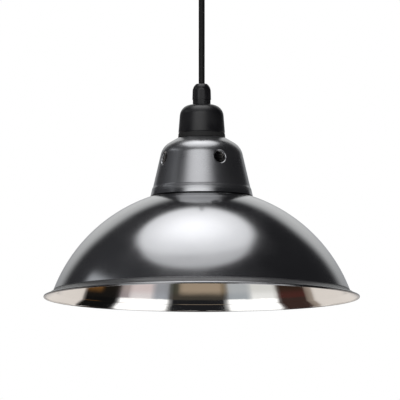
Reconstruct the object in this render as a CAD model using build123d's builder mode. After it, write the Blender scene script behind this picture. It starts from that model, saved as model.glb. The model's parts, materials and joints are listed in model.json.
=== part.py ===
from build123d import *
from math import cos, radians, sin, sqrt, tan
import os

# Pendant ceiling light: a spun metal shade with a vented neck, hung on its own flex from a ceiling
# canopy. Origin on the ceiling surface, on the lamp's axis; +Z up, so the whole lamp lies below Z = 0.
# The ceiling fitting stays still. The flex bends at the mouth of the upper cord grip, the lamp turns
# on the flex at the lower cord grip, the shade ring screws down its thread, and the bulb comes out
# downwards. All sizes are in millimetres.

FULL_TURN = 360.0

# Shade: heights are measured up from the shade's lower edge.
LIP_Z = -338.0
SHADE_R = 150.0
SHEET_T = 1.0
DOME_R = 150.5
DOME_DROP = 47.4
FLARE_ANGLE = 20.7
LIP_SLOPE = 30.5
FLARE_R = 1.5
BEAD_R = 1.1
DOME_MID_ANGLE = 60.0
NECK_FOOT_R = 48.1
NECK_FOOT_H = 95.85
NECK_LEAN = 13.1
NECK_SLOPE = 30.0
NECK_SHOULDER_R = 17.0
NECK_TOP_R = 22.6
NECK_SEAT_H = 151.3
NECK_HOLE_R = 20.3
NECK_EDGE_ROUND = 1.5
COLLAR_H = 8.0
COLLAR_GAP = 0.05
VENT_COUNT = 4
VENT_R = 5.5
VENT_ROLL = 1.9
VENT_CUT_L = 5.0
VENT_H = 130.4
VENT_START = 26.0

# Lampholder: standard E27 sizes where they exist.
CAP_TOP_H = 182.9
CAP_BASE_R = 22.45
CAP_TAPER = 4.5
CAP_SHOULDER_R = 11.0
CAP_WALL = 2.2
CAP_BOSS_H = 10.0
FIT_GAP = 0.05
SKIRT_R = 19.7
SKIRT_WALL = 2.5
SKIRT_FOOT_H = 120.0
SKIRT_EDGE_ROUND = 0.6
INSERT_TOP_H = 152.0
INSERT_WEB = 8.0
INSERT_FOOT_H = 121.5
SHELL_OUTER_R = 14.5
SHELL_ROOT_R = 14.1
SHELL_CREST_R = 13.6
SHELL_LID_T = 0.6
SHELL_LID_BORE_R = 10.6
SHELL_LEAD = 3.0
E27_PITCH = 3.63
TERMINAL_SIZE = 6.0
TERMINAL_X = 9.0
TERMINAL_FLOOR = 1.0
STRIP_T = 0.6
STRIP_W = 5.0
STRIP_END = 1.5
RIVET_R = 1.0
CONTACT_R = 4.1
SCREW_R = 1.5
SCREW_HEAD_R = 2.4
SCREW_HEAD_T = 1.2
SCREW_SLOT_W = 0.6
SCREW_SLOT_FLOOR = 0.5

# Shade ring and its washer.
RING_R = 28.0
RING_T = 2.4
RING_HUB_H = 9.0
RING_HUB_WALL = 2.6
RING_GRIPS = 12
RING_GRIP_R = 2.4
RING_GRIP_INSET = 1.2
WASHER_R = 25.5
WASHER_T = 0.8
RING_GAP = 0.1

# Bulb: heights are measured up from the shade's lower edge too.
BULB_TIP_H = 143.0
BULB_CONTACT_R = 4.6
BULB_CONTACT_T = 1.4
BULB_CONTACT_ROUND = 0.98
BULB_INSULATOR_R = 10.0
BULB_INSULATOR_T = 2.2
BULB_INSULATOR_TOP_R = 5.1
BULB_CAP_ROOT_R = 12.2
BULB_CAP_CREST_R = 13.15
BULB_CAP_WALL = 0.5
BULB_CAP_TURNS = 5
BULB_CAP_HOLE_R = 8.0
BULB_THREAD_LEAD = 1.0
BULB_SKIRT_R = 13.45
BULB_SKIRT_H = 116.0
BULB_SKIRT_T = 0.5
GLASS_R = 30.0
GLASS_NECK_R = 12.9
GLASS_TOP_H = 119.5
GLASS_CENTRE_H = 67.0
GLASS_WALL = 0.8
GLASS_TANGENT = 30.0
GLASS_FLANK = -30.0
GLASS_FILLET_R = 15.0
FILAMENT_R = 0.9
FILAMENT_RING_R = 7.0
FILAMENT_LENGTH = 34.0
FILAMENT_COUNT = 4
STEM_R = 2.2
STEM_FOOT_H = 92.0
STEM_NECK_H = 96.0
STEM_FLARE_H = 110.0
STEM_FLARE_R = 4.4
STEM_GAP = 0.6
SPIDER_R = 8.2
SPIDER_T = 0.6

# Flex and cord grips.
FLEX_R = 2.9
FLEX_GAP = 0.05
HEX_SIDES = 6
GRIP_H = 19.9
GRIP_COLLAR_H = 4.8
GRIP_COLLAR_R = 8.45
GRIP_COLLAR_FLAT = 8.1
GRIP_NUT_R = 8.9
GRIP_NUT_FLAT = 8.35
GRIP_NUT_TOP_R = 5.3
GRIP_NUT_SHOULDER = 13.2
GRIP_NUT_SHOULDER_R = 8.65
GRIP_NUT_BULGE = 0.5
GRIP_NUT_WALL = 2.3
GRIP_NECK_R = 6.2
GRIP_NECK_H = 12.0
GRIP_BORE_R = 3.5
GRIP_MOUTH_R = 3.25
GRIP_BELL_R = 4.4
GRIP_BELL_T = 1.3
GRIP_NUT_SEAT_R = 4.8
GRIP_NUT_SEAT_T = 0.4
GRIP_NUT_STEP = 0.6
GRIP_SEAL_R = 5.4
GRIP_SEAL_BASE = 6.0
GRIP_SEAL_TOP = 16.8
GRIP_SEAL_TOP_R = 4.2
GRIP_THREAD_R = 5.0
GRIP_THREAD_L = 6.4
LOCK_NUT_FLAT = 7.0
LOCK_NUT_T = 3.0
WIRE_R = 1.05
WIRE_X = 1.35
WIRE_BEND = 2.4
WIRE_LEAD = 3.5
WIRE_RISE = 5.5
WIRE_ENTRY = 4.0
FLEX_END_DROP = 1.0
FLEX_JOINT_R = 2.6
FLEX_JOINT_INSET = 1.0
FLEX_JOINT_DROP = 3.0
STRIP_GAP = 0.3

# Ceiling fitting.
CANOPY_R = 50.0
CANOPY_H = 28.0
CANOPY_ROUND = 7.0
CANOPY_T = 1.0
STRAP_W = 20.0
STRAP_T = 2.0
STRAP_TAB = 15.0
STRAP_GAP = 0.3
STRAP_BEND_R = 3.0
SLOT_SPACING = 60.0
SLOT_LENGTH = 12.0
SLOT_R = 2.5
SIDE_SCREW_Z = -10.0
SIDE_SCREW_R = 2.0
SIDE_SCREW_L = 7.0
SIDE_SCREW_HEAD_R = 3.6
SIDE_SCREW_HEAD_T = 2.2
SIDE_SCREW_ROUND = 1.3
SIDE_SCREW_GAP = 0.3
DRIVER_SLOT = 0.8
BLOCK_X = 20.0
BLOCK_Y = 17.0
BLOCK_H = 13.0
BLOCK_ROUND = 1.5
BLOCK_TUBE_DROP = 0.5
BLOCK_TUBE_INSET = 1.0
BLOCK_POLE_X = 5.0
BLOCK_TUBE_R = 2.6
BLOCK_HOLE_R = 1.5
BLOCK_SCREW_Y = 4.6
CLAMP_WELL_R = 2.0
CLAMP_SCREW_R = 1.3
CLAMP_HEAD_R = 1.8
CLAMP_HEAD_T = 1.6
TAIL_OUT = 4.5
TAIL_DROP = 2.2
TAIL_ENTRY = 3.0
BLOCK_FIX_R = 1.2
BLOCK_FIX_HEAD_R = 2.4
BLOCK_FIX_HEAD_T = 1.2
CUT_OVER = 1.0
FLEX_TAIL_Z = -20.0


def z(height):
    """Z of a height above the shade's lower edge."""
    return LIP_Z + height


os.makedirs("parts", exist_ok=True)

dome_z = z(-DOME_DROP)
seat_z = z(NECK_SEAT_H)
cap_top_z = z(CAP_TOP_H)
upper_face_z = -CANOPY_H
pivot_z = upper_face_z - GRIP_H + FLEX_JOINT_INSET
flex_top_z = pivot_z - FLEX_JOINT_DROP
flex_end_z = cap_top_z - CAP_WALL - GRIP_THREAD_L - FLEX_END_DROP
lean = tan(radians(NECK_LEAN))


def finish(piece, name):
    """Label one sub-part and write it to its own file."""
    piece.part.label = name
    export_step(piece.part, f"parts/{name}.step")


def dome_height(radius, dome_r):
    """Z of the dome's surface at a distance from the axis."""
    return dome_z + sqrt(dome_r**2 - radius**2)


def neck_wall_r(level, inset):
    """Radius of the neck's leaning wall at a Z level, inset mm inside its outer face."""
    return NECK_FOOT_R - (level - z(NECK_FOOT_H)) * lean - inset / cos(radians(NECK_LEAN))


# ---------------------------------------------------------------- shade: dome and neck
# The dome's top edge is turned up into a leaning collar, and the neck is pressed over that collar.
collar_top_z = z(NECK_FOOT_H + COLLAR_H)
collar_outer = SHEET_T + COLLAR_GAP
collar_inner = collar_outer + SHEET_T
collar_foot_r = neck_wall_r(z(NECK_FOOT_H), collar_outer)
collar_foot_inner_r = neck_wall_r(z(NECK_FOOT_H), collar_inner)
flare_start = (DOME_R * cos(radians(FLARE_ANGLE)), dome_z + DOME_R * sin(radians(FLARE_ANGLE)))
flare_tangent = (sin(radians(FLARE_ANGLE)), -cos(radians(FLARE_ANGLE)))
flare_turn = FULL_TURN / 4 - FLARE_ANGLE - LIP_SLOPE
inner_r = DOME_R - SHEET_T
inner_start = (inner_r * cos(radians(FLARE_ANGLE)), dome_z + inner_r * sin(radians(FLARE_ANGLE)))
lip_way = (cos(radians(LIP_SLOPE)), -sin(radians(LIP_SLOPE)))
lip_end_r = SHADE_R - BEAD_R - lip_way[1] * SHEET_T / 2

with BuildPart() as dome_shade:
    with BuildSketch(Plane.XZ):
        with BuildLine():
            outer_top = (collar_foot_r, dome_height(collar_foot_r, DOME_R))
            mid = radians(DOME_MID_ANGLE)
            outer_mid = (DOME_R * cos(mid), dome_z + DOME_R * sin(mid))
            ThreePointArc(outer_top, outer_mid, flare_start)
            flare = JernArc(flare_start, flare_tangent, FLARE_R, flare_turn)
            lip_length = (lip_end_r - (flare @ 1).X) / lip_way[0]
            lip = Line(flare @ 1, (lip_end_r, (flare @ 1).Y + lip_length * lip_way[1]))
            inner_mid = (inner_r * cos(mid), dome_z + inner_r * sin(mid))
            inner_top = (collar_foot_inner_r, dome_height(collar_foot_inner_r, inner_r))
            ThreePointArc(inner_top, inner_mid, inner_start)
            inner_flare = JernArc(inner_start, flare_tangent, FLARE_R + SHEET_T, flare_turn)
            lip_edge = (lip @ 1) + Vector(lip_way[1], -lip_way[0]) * SHEET_T
            Line(inner_flare @ 1, lip_edge)
            Line(lip @ 1, lip_edge)
            Line(outer_top, (neck_wall_r(collar_top_z, collar_outer), collar_top_z))
            collar_rim = (neck_wall_r(collar_top_z, collar_inner), collar_top_z)
            Line((neck_wall_r(collar_top_z, collar_outer), collar_top_z), collar_rim)
            Line(collar_rim, inner_top)
        make_face()
        # The rim is curled into a bead that stiffens it and hides the cut edge.
        with Locations((lip @ 1) + Vector(lip_way[1], -lip_way[0]) * (SHEET_T / 2)):
            Circle(BEAD_R)
    revolve(axis=Axis.Z)
finish(dome_shade, "dome_shade")

slope = tan(radians(NECK_SLOPE))
corner_r = (
    NECK_FOOT_R + (z(NECK_FOOT_H) - seat_z - NECK_TOP_R * slope) * lean
) / (1 - slope * lean)
corner_z = seat_z - (corner_r - NECK_TOP_R) * slope
vent_z = z(VENT_H)
vent_r = neck_wall_r(vent_z, 0)
vent_planes = []
for index in range(VENT_COUNT):
    turn = radians(VENT_START + index * FULL_TURN / VENT_COUNT)
    tilt = radians(NECK_LEAN)
    way = (cos(turn) * cos(tilt), sin(turn) * cos(tilt), sin(tilt))
    centre = (vent_r * cos(turn), vent_r * sin(turn), vent_z)
    vent_planes.append(Plane(origin=centre, x_dir=(-sin(turn), cos(turn), 0), z_dir=way))

with BuildPart() as neck:
    with BuildSketch(Plane.XZ):
        with BuildLine():
            FilletPolyline(
                (NECK_HOLE_R, seat_z),
                (NECK_TOP_R, seat_z),
                (corner_r, corner_z),
                (NECK_FOOT_R, z(NECK_FOOT_H)),
                radius=[NECK_EDGE_ROUND, NECK_SHOULDER_R],
            )
            offset(amount=SHEET_T, side=Side.RIGHT)
        make_face()
    revolve(axis=Axis.Z)
    for plane in vent_planes:
        with BuildSketch(plane.offset(-SHEET_T / 2)):
            Circle(VENT_R + SHEET_T)
        extrude(amount=-VENT_ROLL)
    for plane in vent_planes:
        with BuildSketch(plane.offset(SHEET_T)):
            Circle(VENT_R)
        extrude(amount=-VENT_CUT_L, mode=Mode.SUBTRACT)
finish(neck, "neck")


# ---------------------------------------------------------------- lampholder
cap_top_r = CAP_BASE_R - (cap_top_z - seat_z) * tan(radians(CAP_TAPER))
boss_top_z = seat_z + CAP_BOSS_H
with BuildPart() as lampholder_cap:
    with BuildSketch(Plane.XZ):
        with BuildLine():
            FilletPolyline(
                (CAP_BASE_R, seat_z),
                (cap_top_r, cap_top_z),
                (GRIP_THREAD_R + FIT_GAP, cap_top_z),
                radius=[CAP_SHOULDER_R],
            )
            offset(amount=CAP_WALL, side=Side.LEFT)
        make_face()
        with BuildLine():
            Polyline(
                (SKIRT_R + FIT_GAP, seat_z),
                (CAP_BASE_R - CAP_WALL / 2, seat_z),
                (CAP_BASE_R - CAP_WALL, boss_top_z),
                (SKIRT_R + FIT_GAP, boss_top_z),
                close=True,
            )
        make_face()
    revolve(axis=Axis.Z)
    with BuildSketch(Plane.XY.offset(seat_z)):
        Circle(2 * CAP_BASE_R)
    extrude(amount=-CAP_WALL, mode=Mode.SUBTRACT)
    with BuildSketch(Plane.XY.offset(seat_z)):
        Circle(SKIRT_R + FIT_GAP)
    extrude(amount=CAP_BOSS_H, mode=Mode.SUBTRACT)
finish(lampholder_cap, "lampholder_cap")

skirt_inner_r = SKIRT_R - SKIRT_WALL
insert_r = skirt_inner_r - FIT_GAP
with BuildPart() as lampholder_skirt:
    with BuildSketch(Plane.XZ):
        with BuildLine():
            Polyline(
                (SHELL_OUTER_R + 2 * FIT_GAP, z(SKIRT_FOOT_H)),
                (SKIRT_R, z(SKIRT_FOOT_H)),
                (SKIRT_R, boss_top_z),
                (skirt_inner_r, boss_top_z),
                (skirt_inner_r, z(INSERT_FOOT_H)),
                (SHELL_OUTER_R + 2 * FIT_GAP, z(INSERT_FOOT_H)),
                close=True,
            )
        make_face()
    revolve(axis=Axis.Z)
    fillet(lampholder_skirt.edges().group_by(Axis.Z)[0], radius=SKIRT_EDGE_ROUND)
finish(lampholder_skirt, "lampholder_skirt")

insert_top_z = z(INSERT_TOP_H)
web_z = insert_top_z - INSERT_WEB
neutral_x = -(SHELL_CREST_R - FIT_GAP - RIVET_R)
with BuildPart() as lamp_insert:
    with BuildSketch(Plane.XY.offset(z(INSERT_FOOT_H))):
        Circle(insert_r)
        Circle(SHELL_OUTER_R + FIT_GAP, mode=Mode.SUBTRACT)
    extrude(amount=web_z - z(INSERT_FOOT_H))
    with BuildSketch(Plane.XY.offset(web_z)):
        Circle(insert_r)
        Circle(SCREW_R + FIT_GAP, mode=Mode.SUBTRACT)
        with Locations((neutral_x, 0)):
            Circle(RIVET_R + FIT_GAP, mode=Mode.SUBTRACT)
    extrude(amount=INSERT_WEB)
finish(lamp_insert, "lamp_insert")


def thread_wave(crest_r, root_r, top_z, turns):
    """Rounded thread ridges down a radius-height outline, one pitch for each turn."""
    middle_r = (crest_r + root_r) / 2
    for turn_number in range(turns):
        level = top_z - turn_number * E27_PITCH
        half = level - E27_PITCH / 2
        foot = level - E27_PITCH
        ThreePointArc((middle_r, level), (crest_r, level - E27_PITCH / 4), (middle_r, half))
        ThreePointArc((middle_r, half), (root_r, half - E27_PITCH / 4), (middle_r, foot))
    return (middle_r, top_z - turns * E27_PITCH)


shell_top_z = web_z - FIT_GAP
shell_lid_z = shell_top_z - SHELL_LID_T
shell_wave_z = shell_top_z - SHELL_LEAD
with BuildPart() as threaded_shell:
    with BuildSketch(Plane.XZ):
        with BuildLine():
            wave_end = thread_wave(SHELL_CREST_R, SHELL_ROOT_R, shell_wave_z, BULB_CAP_TURNS)
            middle_r = wave_end[0]
            Polyline(
                wave_end,
                (SHELL_OUTER_R, wave_end[1]),
                (SHELL_OUTER_R, shell_top_z),
                (SHELL_LID_BORE_R, shell_top_z),
                (SHELL_LID_BORE_R, shell_lid_z),
                (middle_r, shell_lid_z),
                (middle_r, shell_wave_z),
            )
        make_face()
    revolve(axis=Axis.Z)
finish(threaded_shell, "threaded_shell")

contact_face_z = z(BULB_TIP_H) + FIT_GAP
with BuildPart() as centre_contact:
    with BuildSketch(Plane.XY.offset(contact_face_z)):
        Circle(CONTACT_R)
    extrude(amount=web_z - contact_face_z)
    with BuildSketch(Plane.XY.offset(web_z)):
        Circle(SCREW_R)
    extrude(amount=INSERT_WEB)
finish(centre_contact, "centre_contact")

# Two clamp terminals on the insert: +X joins the centre contact, -X joins the threaded shell.
terminal_z = insert_top_z + STRIP_T
strip_reach = TERMINAL_X - TERMINAL_SIZE / 2
neutral_end_x = neutral_x - STRIP_END
terminal_plane = Plane.XZ.offset(TERMINAL_SIZE / 2)
with BuildPart() as holder_terminals:
    with BuildSketch(Plane.XY.offset(insert_top_z)):
        with Locations((TERMINAL_X / 2, 0)):
            Rectangle(TERMINAL_X + TERMINAL_SIZE, STRIP_W)
        with Locations(((neutral_end_x - strip_reach) / 2, 0)):
            Rectangle(-neutral_end_x - strip_reach, STRIP_W)
    extrude(amount=STRIP_T)
    with BuildSketch(Plane.XY.offset(terminal_z)):
        with Locations((TERMINAL_X, 0), (-TERMINAL_X, 0)):
            Rectangle(TERMINAL_SIZE, TERMINAL_SIZE)
    extrude(amount=TERMINAL_SIZE)
    with BuildSketch(Plane.XY.offset(shell_top_z + FIT_GAP / 2)):
        with Locations((neutral_x, 0)):
            Circle(RIVET_R)
    extrude(amount=INSERT_WEB + STRIP_T / 2)
    with BuildSketch(Plane.XY.offset(terminal_z + TERMINAL_SIZE)):
        with Locations((TERMINAL_X, 0), (-TERMINAL_X, 0)):
            Circle(WIRE_R + FIT_GAP)
    extrude(amount=TERMINAL_FLOOR - TERMINAL_SIZE, mode=Mode.SUBTRACT)
    with BuildSketch(terminal_plane):
        with Locations(
            (TERMINAL_X, terminal_z + TERMINAL_SIZE / 2),
            (-TERMINAL_X, terminal_z + TERMINAL_SIZE / 2),
        ):
            Circle(SCREW_R + FIT_GAP)
    extrude(amount=-TERMINAL_SIZE / 2, mode=Mode.SUBTRACT)
finish(holder_terminals, "holder_terminals")

with BuildPart() as terminal_screws:
    with BuildSketch(terminal_plane):
        with Locations(
            (TERMINAL_X, terminal_z + TERMINAL_SIZE / 2),
            (-TERMINAL_X, terminal_z + TERMINAL_SIZE / 2),
        ):
            Circle(SCREW_R)
    extrude(amount=-(TERMINAL_SIZE / 2 - WIRE_R - FIT_GAP))
    with BuildSketch(terminal_plane):
        with Locations(
            (TERMINAL_X, terminal_z + TERMINAL_SIZE / 2),
            (-TERMINAL_X, terminal_z + TERMINAL_SIZE / 2),
        ):
            Circle(SCREW_HEAD_R)
            Rectangle(2 * SCREW_HEAD_R + CUT_OVER, SCREW_SLOT_W, mode=Mode.SUBTRACT)
    extrude(amount=SCREW_HEAD_T)
    with BuildSketch(terminal_plane):
        with Locations(
            (TERMINAL_X, terminal_z + TERMINAL_SIZE / 2),
            (-TERMINAL_X, terminal_z + TERMINAL_SIZE / 2),
        ):
            Circle(SCREW_HEAD_R)
    extrude(amount=SCREW_SLOT_FLOOR)
finish(terminal_screws, "terminal_screws")

# ---------------------------------------------------------------- shade ring and washer
neck_inner_z = seat_z - SHEET_T
inner_corner_r = NECK_TOP_R - SHEET_T * tan(radians(NECK_SLOPE / 2))
washer_top_z = neck_inner_z - RING_GAP
washer_bore_r = SKIRT_R + RING_GAP
with BuildPart() as ring_washer:
    with BuildSketch(Plane.XZ):
        with BuildLine():
            Polyline(
                (washer_bore_r, washer_top_z),
                (inner_corner_r, washer_top_z),
                (WASHER_R, washer_top_z - (WASHER_R - inner_corner_r) * slope),
            )
            offset(amount=WASHER_T, side=Side.RIGHT)
        make_face()
    revolve(axis=Axis.Z)
finish(ring_washer, "ring_washer")

ring_top_z = washer_top_z - WASHER_T - RING_GAP
ring_knee_r = inner_corner_r - (WASHER_T + 2 * RING_GAP) * tan(radians(NECK_SLOPE / 2))
ring_edge_z = ring_top_z - (RING_R - ring_knee_r) * slope
hub_r = SKIRT_R + FIT_GAP + RING_HUB_WALL
with BuildPart() as shade_ring:
    with BuildSketch(Plane.XZ):
        with BuildLine():
            Polyline(
                (SKIRT_R + FIT_GAP, ring_top_z),
                (ring_knee_r, ring_top_z),
                (RING_R, ring_edge_z),
                (RING_R, ring_edge_z - RING_T),
                (hub_r, ring_edge_z - RING_T),
                (hub_r, ring_top_z - RING_HUB_H),
                (SKIRT_R + FIT_GAP, ring_top_z - RING_HUB_H),
                close=True,
            )
        make_face()
    revolve(axis=Axis.Z)
    with BuildSketch(Plane.XY.offset(ring_edge_z - RING_T)):
        with PolarLocations(RING_R + RING_GRIP_INSET, RING_GRIPS):
            Circle(RING_GRIP_R)
    extrude(amount=RING_HUB_H, mode=Mode.SUBTRACT)
finish(shade_ring, "shade_ring")

# ---------------------------------------------------------------- bulb
tip_z = z(BULB_TIP_H)
contact_z = tip_z - BULB_CONTACT_T
cap_z = contact_z - BULB_INSULATOR_T
with BuildPart() as bulb_contact:
    with BuildSketch(Plane.XY.offset(contact_z)):
        Circle(BULB_CONTACT_R)
    extrude(amount=BULB_CONTACT_T)
    fillet(bulb_contact.edges().group_by(Axis.Z)[-1], radius=BULB_CONTACT_ROUND)
finish(bulb_contact, "bulb_contact")

with BuildPart() as bulb_insulator:
    with BuildSketch(Plane.XZ):
        Polygon(
            (0, cap_z),
            (BULB_INSULATOR_R, cap_z),
            (BULB_INSULATOR_TOP_R, contact_z),
            (0, contact_z),
            align=None,
        )
    revolve(axis=Axis.Z)
finish(bulb_insulator, "bulb_insulator")

wave_top_z = cap_z - BULB_THREAD_LEAD
with BuildPart() as bulb_cap:
    with BuildSketch(Plane.XZ):
        with BuildLine():
            inner_cap_r = BULB_CAP_ROOT_R - BULB_CAP_WALL
            cap_wave = thread_wave(
                BULB_CAP_CREST_R, BULB_CAP_ROOT_R, wave_top_z, BULB_CAP_TURNS
            )
            Polyline(
                cap_wave,
                (BULB_SKIRT_R, cap_wave[1]),
                (BULB_SKIRT_R, z(BULB_SKIRT_H)),
                (BULB_SKIRT_R - BULB_SKIRT_T, z(BULB_SKIRT_H)),
                (BULB_SKIRT_R - BULB_SKIRT_T, z(GLASS_TOP_H) + FIT_GAP),
                (inner_cap_r, z(GLASS_TOP_H) + FIT_GAP),
                (inner_cap_r, cap_z - BULB_CAP_WALL),
                (BULB_CAP_HOLE_R, cap_z - BULB_CAP_WALL),
                (BULB_CAP_HOLE_R, cap_z),
                (cap_wave[0], cap_z),
                (cap_wave[0], wave_top_z),
            )
        make_face()
    revolve(axis=Axis.Z)
finish(bulb_cap, "bulb_cap")

glass_z = z(GLASS_CENTRE_H)
leave = radians(GLASS_TANGENT)
leave_point = (GLASS_R * cos(leave), glass_z + GLASS_R * sin(leave))
cone_length = (leave_point[0] - GLASS_NECK_R) / sin(leave)
cone_way = Vector(-sin(leave), cos(leave))
with BuildPart() as bulb_glass:
    with BuildSketch(Plane.XZ):
        with BuildLine():
            flank = radians(GLASS_FLANK)
            flank_point = (GLASS_R * cos(flank), glass_z + GLASS_R * sin(flank))
            ThreePointArc((0, glass_z - GLASS_R), flank_point, leave_point)
            cone_run = cone_length - GLASS_FILLET_R * tan(leave / 2)
            cone = Line(leave_point, Vector(leave_point) + cone_way * cone_run)
            throat = JernArc(cone @ 1, cone_way, GLASS_FILLET_R, -GLASS_TANGENT)
            Line(throat @ 1, ((throat @ 1).X, z(GLASS_TOP_H)))
            offset(amount=GLASS_WALL, side=Side.LEFT)
        make_face()
    revolve(axis=Axis.Z)
finish(bulb_glass, "bulb_glass")

stem_z = z(STEM_FOOT_H)
spider_foot_z = glass_z - FILAMENT_LENGTH / 2
with BuildPart() as bulb_stem:
    with BuildSketch(Plane.XZ):
        with BuildLine():
            Polyline(
                (0, z(GLASS_TOP_H)),
                (GLASS_NECK_R - GLASS_WALL - STEM_GAP, z(GLASS_TOP_H)),
                (STEM_FLARE_R, z(STEM_FLARE_H)),
                (STEM_R, z(STEM_NECK_H)),
                (STEM_R, stem_z),
                (FILAMENT_R, stem_z),
                (FILAMENT_R, spider_foot_z - SPIDER_T),
                (0, spider_foot_z - SPIDER_T),
                close=True,
            )
        make_face()
    revolve(axis=Axis.Z)
finish(bulb_stem, "bulb_stem")


# Thin star plates that the filaments are welded to, each with its boss round the stem's rod.
with BuildPart() as filament_spiders:
    for level in (spider_foot_z - SPIDER_T, spider_foot_z + FILAMENT_LENGTH):
        with BuildSketch(Plane.XY.offset(level)):
            Circle(STEM_R)
            for bar in range(FILAMENT_COUNT // 2):
                Rectangle(2 * SPIDER_R, 2 * FILAMENT_R, rotation=bar * FULL_TURN / FILAMENT_COUNT)
            Circle(FILAMENT_R + FIT_GAP, mode=Mode.SUBTRACT)
        extrude(amount=SPIDER_T)
finish(filament_spiders, "filament_spiders")

with BuildPart() as bulb_filaments:
    with BuildSketch(Plane.XY.offset(spider_foot_z)):
        with PolarLocations(FILAMENT_RING_R, FILAMENT_COUNT):
            Circle(FILAMENT_R)
    extrude(amount=FILAMENT_LENGTH)
finish(bulb_filaments, "bulb_filaments")


# ---------------------------------------------------------------- cord grips
def grip_plane(face_z, way):
    """Radius-height plane of a cord grip that stands on face_z and points up (1) or down (-1)."""
    return Plane(origin=(0, 0, face_z), x_dir=(1, 0, 0), z_dir=(0, -way, 0))


def across(face_z, way, height):
    """Plane across a cord grip's axis, height mm out from its face."""
    return Plane(origin=(0, 0, face_z + way * height), x_dir=(1, 0, 0), z_dir=(0, 0, way))


def make_grip(prefix, face_z, way, wall):
    """A threaded nylon cord grip: body, rubber seal, dome nut and lock nut behind a wall."""
    profile = grip_plane(face_z, way)
    with BuildPart() as grip_body:
        with BuildSketch(across(face_z, way, -GRIP_THREAD_L)):
            Circle(GRIP_THREAD_R)
        extrude(amount=GRIP_THREAD_L)
        with BuildSketch(across(face_z, way, 0)):
            Circle(GRIP_COLLAR_R)
            RegularPolygon(GRIP_COLLAR_FLAT, HEX_SIDES, major_radius=False, mode=Mode.INTERSECT)
        extrude(amount=GRIP_COLLAR_H)
        with BuildSketch(across(face_z, way, GRIP_COLLAR_H)):
            Circle(GRIP_NECK_R)
        extrude(amount=GRIP_NECK_H - GRIP_COLLAR_H)
        with BuildSketch(across(face_z, way, -GRIP_THREAD_L)):
            Circle(GRIP_BORE_R)
        extrude(amount=GRIP_THREAD_L + GRIP_NECK_H, mode=Mode.SUBTRACT)
        with BuildSketch(across(face_z, way, GRIP_SEAL_BASE)):
            Circle(GRIP_SEAL_R + FIT_GAP)
        extrude(amount=GRIP_NECK_H, mode=Mode.SUBTRACT)
    finish(grip_body, prefix + "_body")

    with BuildPart() as grip_seal:
        with BuildSketch(profile):
            Polygon(
                (FLEX_R + FLEX_GAP, GRIP_SEAL_BASE),
                (GRIP_SEAL_R, GRIP_SEAL_BASE),
                (GRIP_SEAL_R, GRIP_NECK_H),
                (GRIP_SEAL_TOP_R, GRIP_SEAL_TOP),
                (FLEX_R + FLEX_GAP, GRIP_SEAL_TOP),
                align=None,
            )
        revolve(axis=Axis.Z)
    finish(grip_seal, prefix + "_seal")

    nut_base = GRIP_COLLAR_H + RING_GAP
    with BuildPart() as grip_nut:
        with BuildSketch(profile):
            with BuildLine():
                shoulder_mid = (
                    (GRIP_NUT_R + GRIP_NUT_TOP_R) / 2 + GRIP_NUT_BULGE,
                    (GRIP_NUT_SHOULDER + GRIP_H) / 2 + GRIP_NUT_BULGE,
                )
                Line((GRIP_NUT_R, nut_base), (GRIP_NUT_SHOULDER_R, GRIP_NUT_SHOULDER))
                ThreePointArc(
                    (GRIP_NUT_SHOULDER_R, GRIP_NUT_SHOULDER),
                    shoulder_mid,
                    (GRIP_NUT_TOP_R, GRIP_H),
                )
                Polyline(
                    (GRIP_NUT_TOP_R, GRIP_H),
                    (GRIP_BELL_R, GRIP_H),
                    (GRIP_MOUTH_R, GRIP_H - GRIP_BELL_T),
                    (GRIP_MOUTH_R, GRIP_H - GRIP_NUT_WALL),
                    (GRIP_NUT_SEAT_R, GRIP_H - GRIP_NUT_WALL - GRIP_NUT_SEAT_T),
                    (GRIP_NECK_R + FIT_GAP, GRIP_NECK_H + GRIP_NUT_STEP),
                    (GRIP_NECK_R + FIT_GAP, nut_base),
                    (GRIP_NUT_R, nut_base),
                )
            make_face()
        revolve(axis=Axis.Z)
        with BuildSketch(across(face_z, way, nut_base)):
            RegularPolygon(GRIP_NUT_FLAT, HEX_SIDES, major_radius=False)
        extrude(amount=GRIP_H, mode=Mode.INTERSECT)
    finish(grip_nut, prefix + "_nut")

    with BuildPart() as grip_lock_nut:
        with BuildSketch(across(face_z, way, -wall)):
            RegularPolygon(LOCK_NUT_FLAT, HEX_SIDES, major_radius=False)
            Circle(GRIP_THREAD_R + FIT_GAP, mode=Mode.SUBTRACT)
        extrude(amount=-LOCK_NUT_T)
    finish(grip_lock_nut, prefix + "_lock_nut")


make_grip("lower_grip", cap_top_z, 1, CAP_WALL)
make_grip("upper_grip", upper_face_z, -1, CANOPY_T)


# ---------------------------------------------------------------- flex and wires
with BuildPart() as flex:
    with BuildSketch(Plane.XY.offset(flex_end_z)):
        Circle(FLEX_R)
    extrude(amount=flex_top_z - flex_end_z)
finish(flex, "flex")

with BuildPart() as flex_joint:
    with Locations((0, 0, pivot_z)):
        Sphere(FLEX_JOINT_R)
finish(flex_joint, "flex_joint")

flex_tail_foot_z = pivot_z + FLEX_JOINT_DROP
with BuildPart() as flex_tail:
    with BuildSketch(Plane.XY.offset(flex_tail_foot_z)):
        Circle(FLEX_R)
    extrude(amount=FLEX_TAIL_Z - flex_tail_foot_z)
finish(flex_tail, "flex_tail")


def wire(name, route):
    """One insulated core along straight runs joined by tangent arcs."""
    with BuildPart() as core:
        with BuildLine():
            run = FilletPolyline(*route, radius=WIRE_BEND)
        with BuildSketch(Plane(origin=run @ 0, z_dir=run % 0)):
            Circle(WIRE_R)
        sweep()
    finish(core, name)


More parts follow.
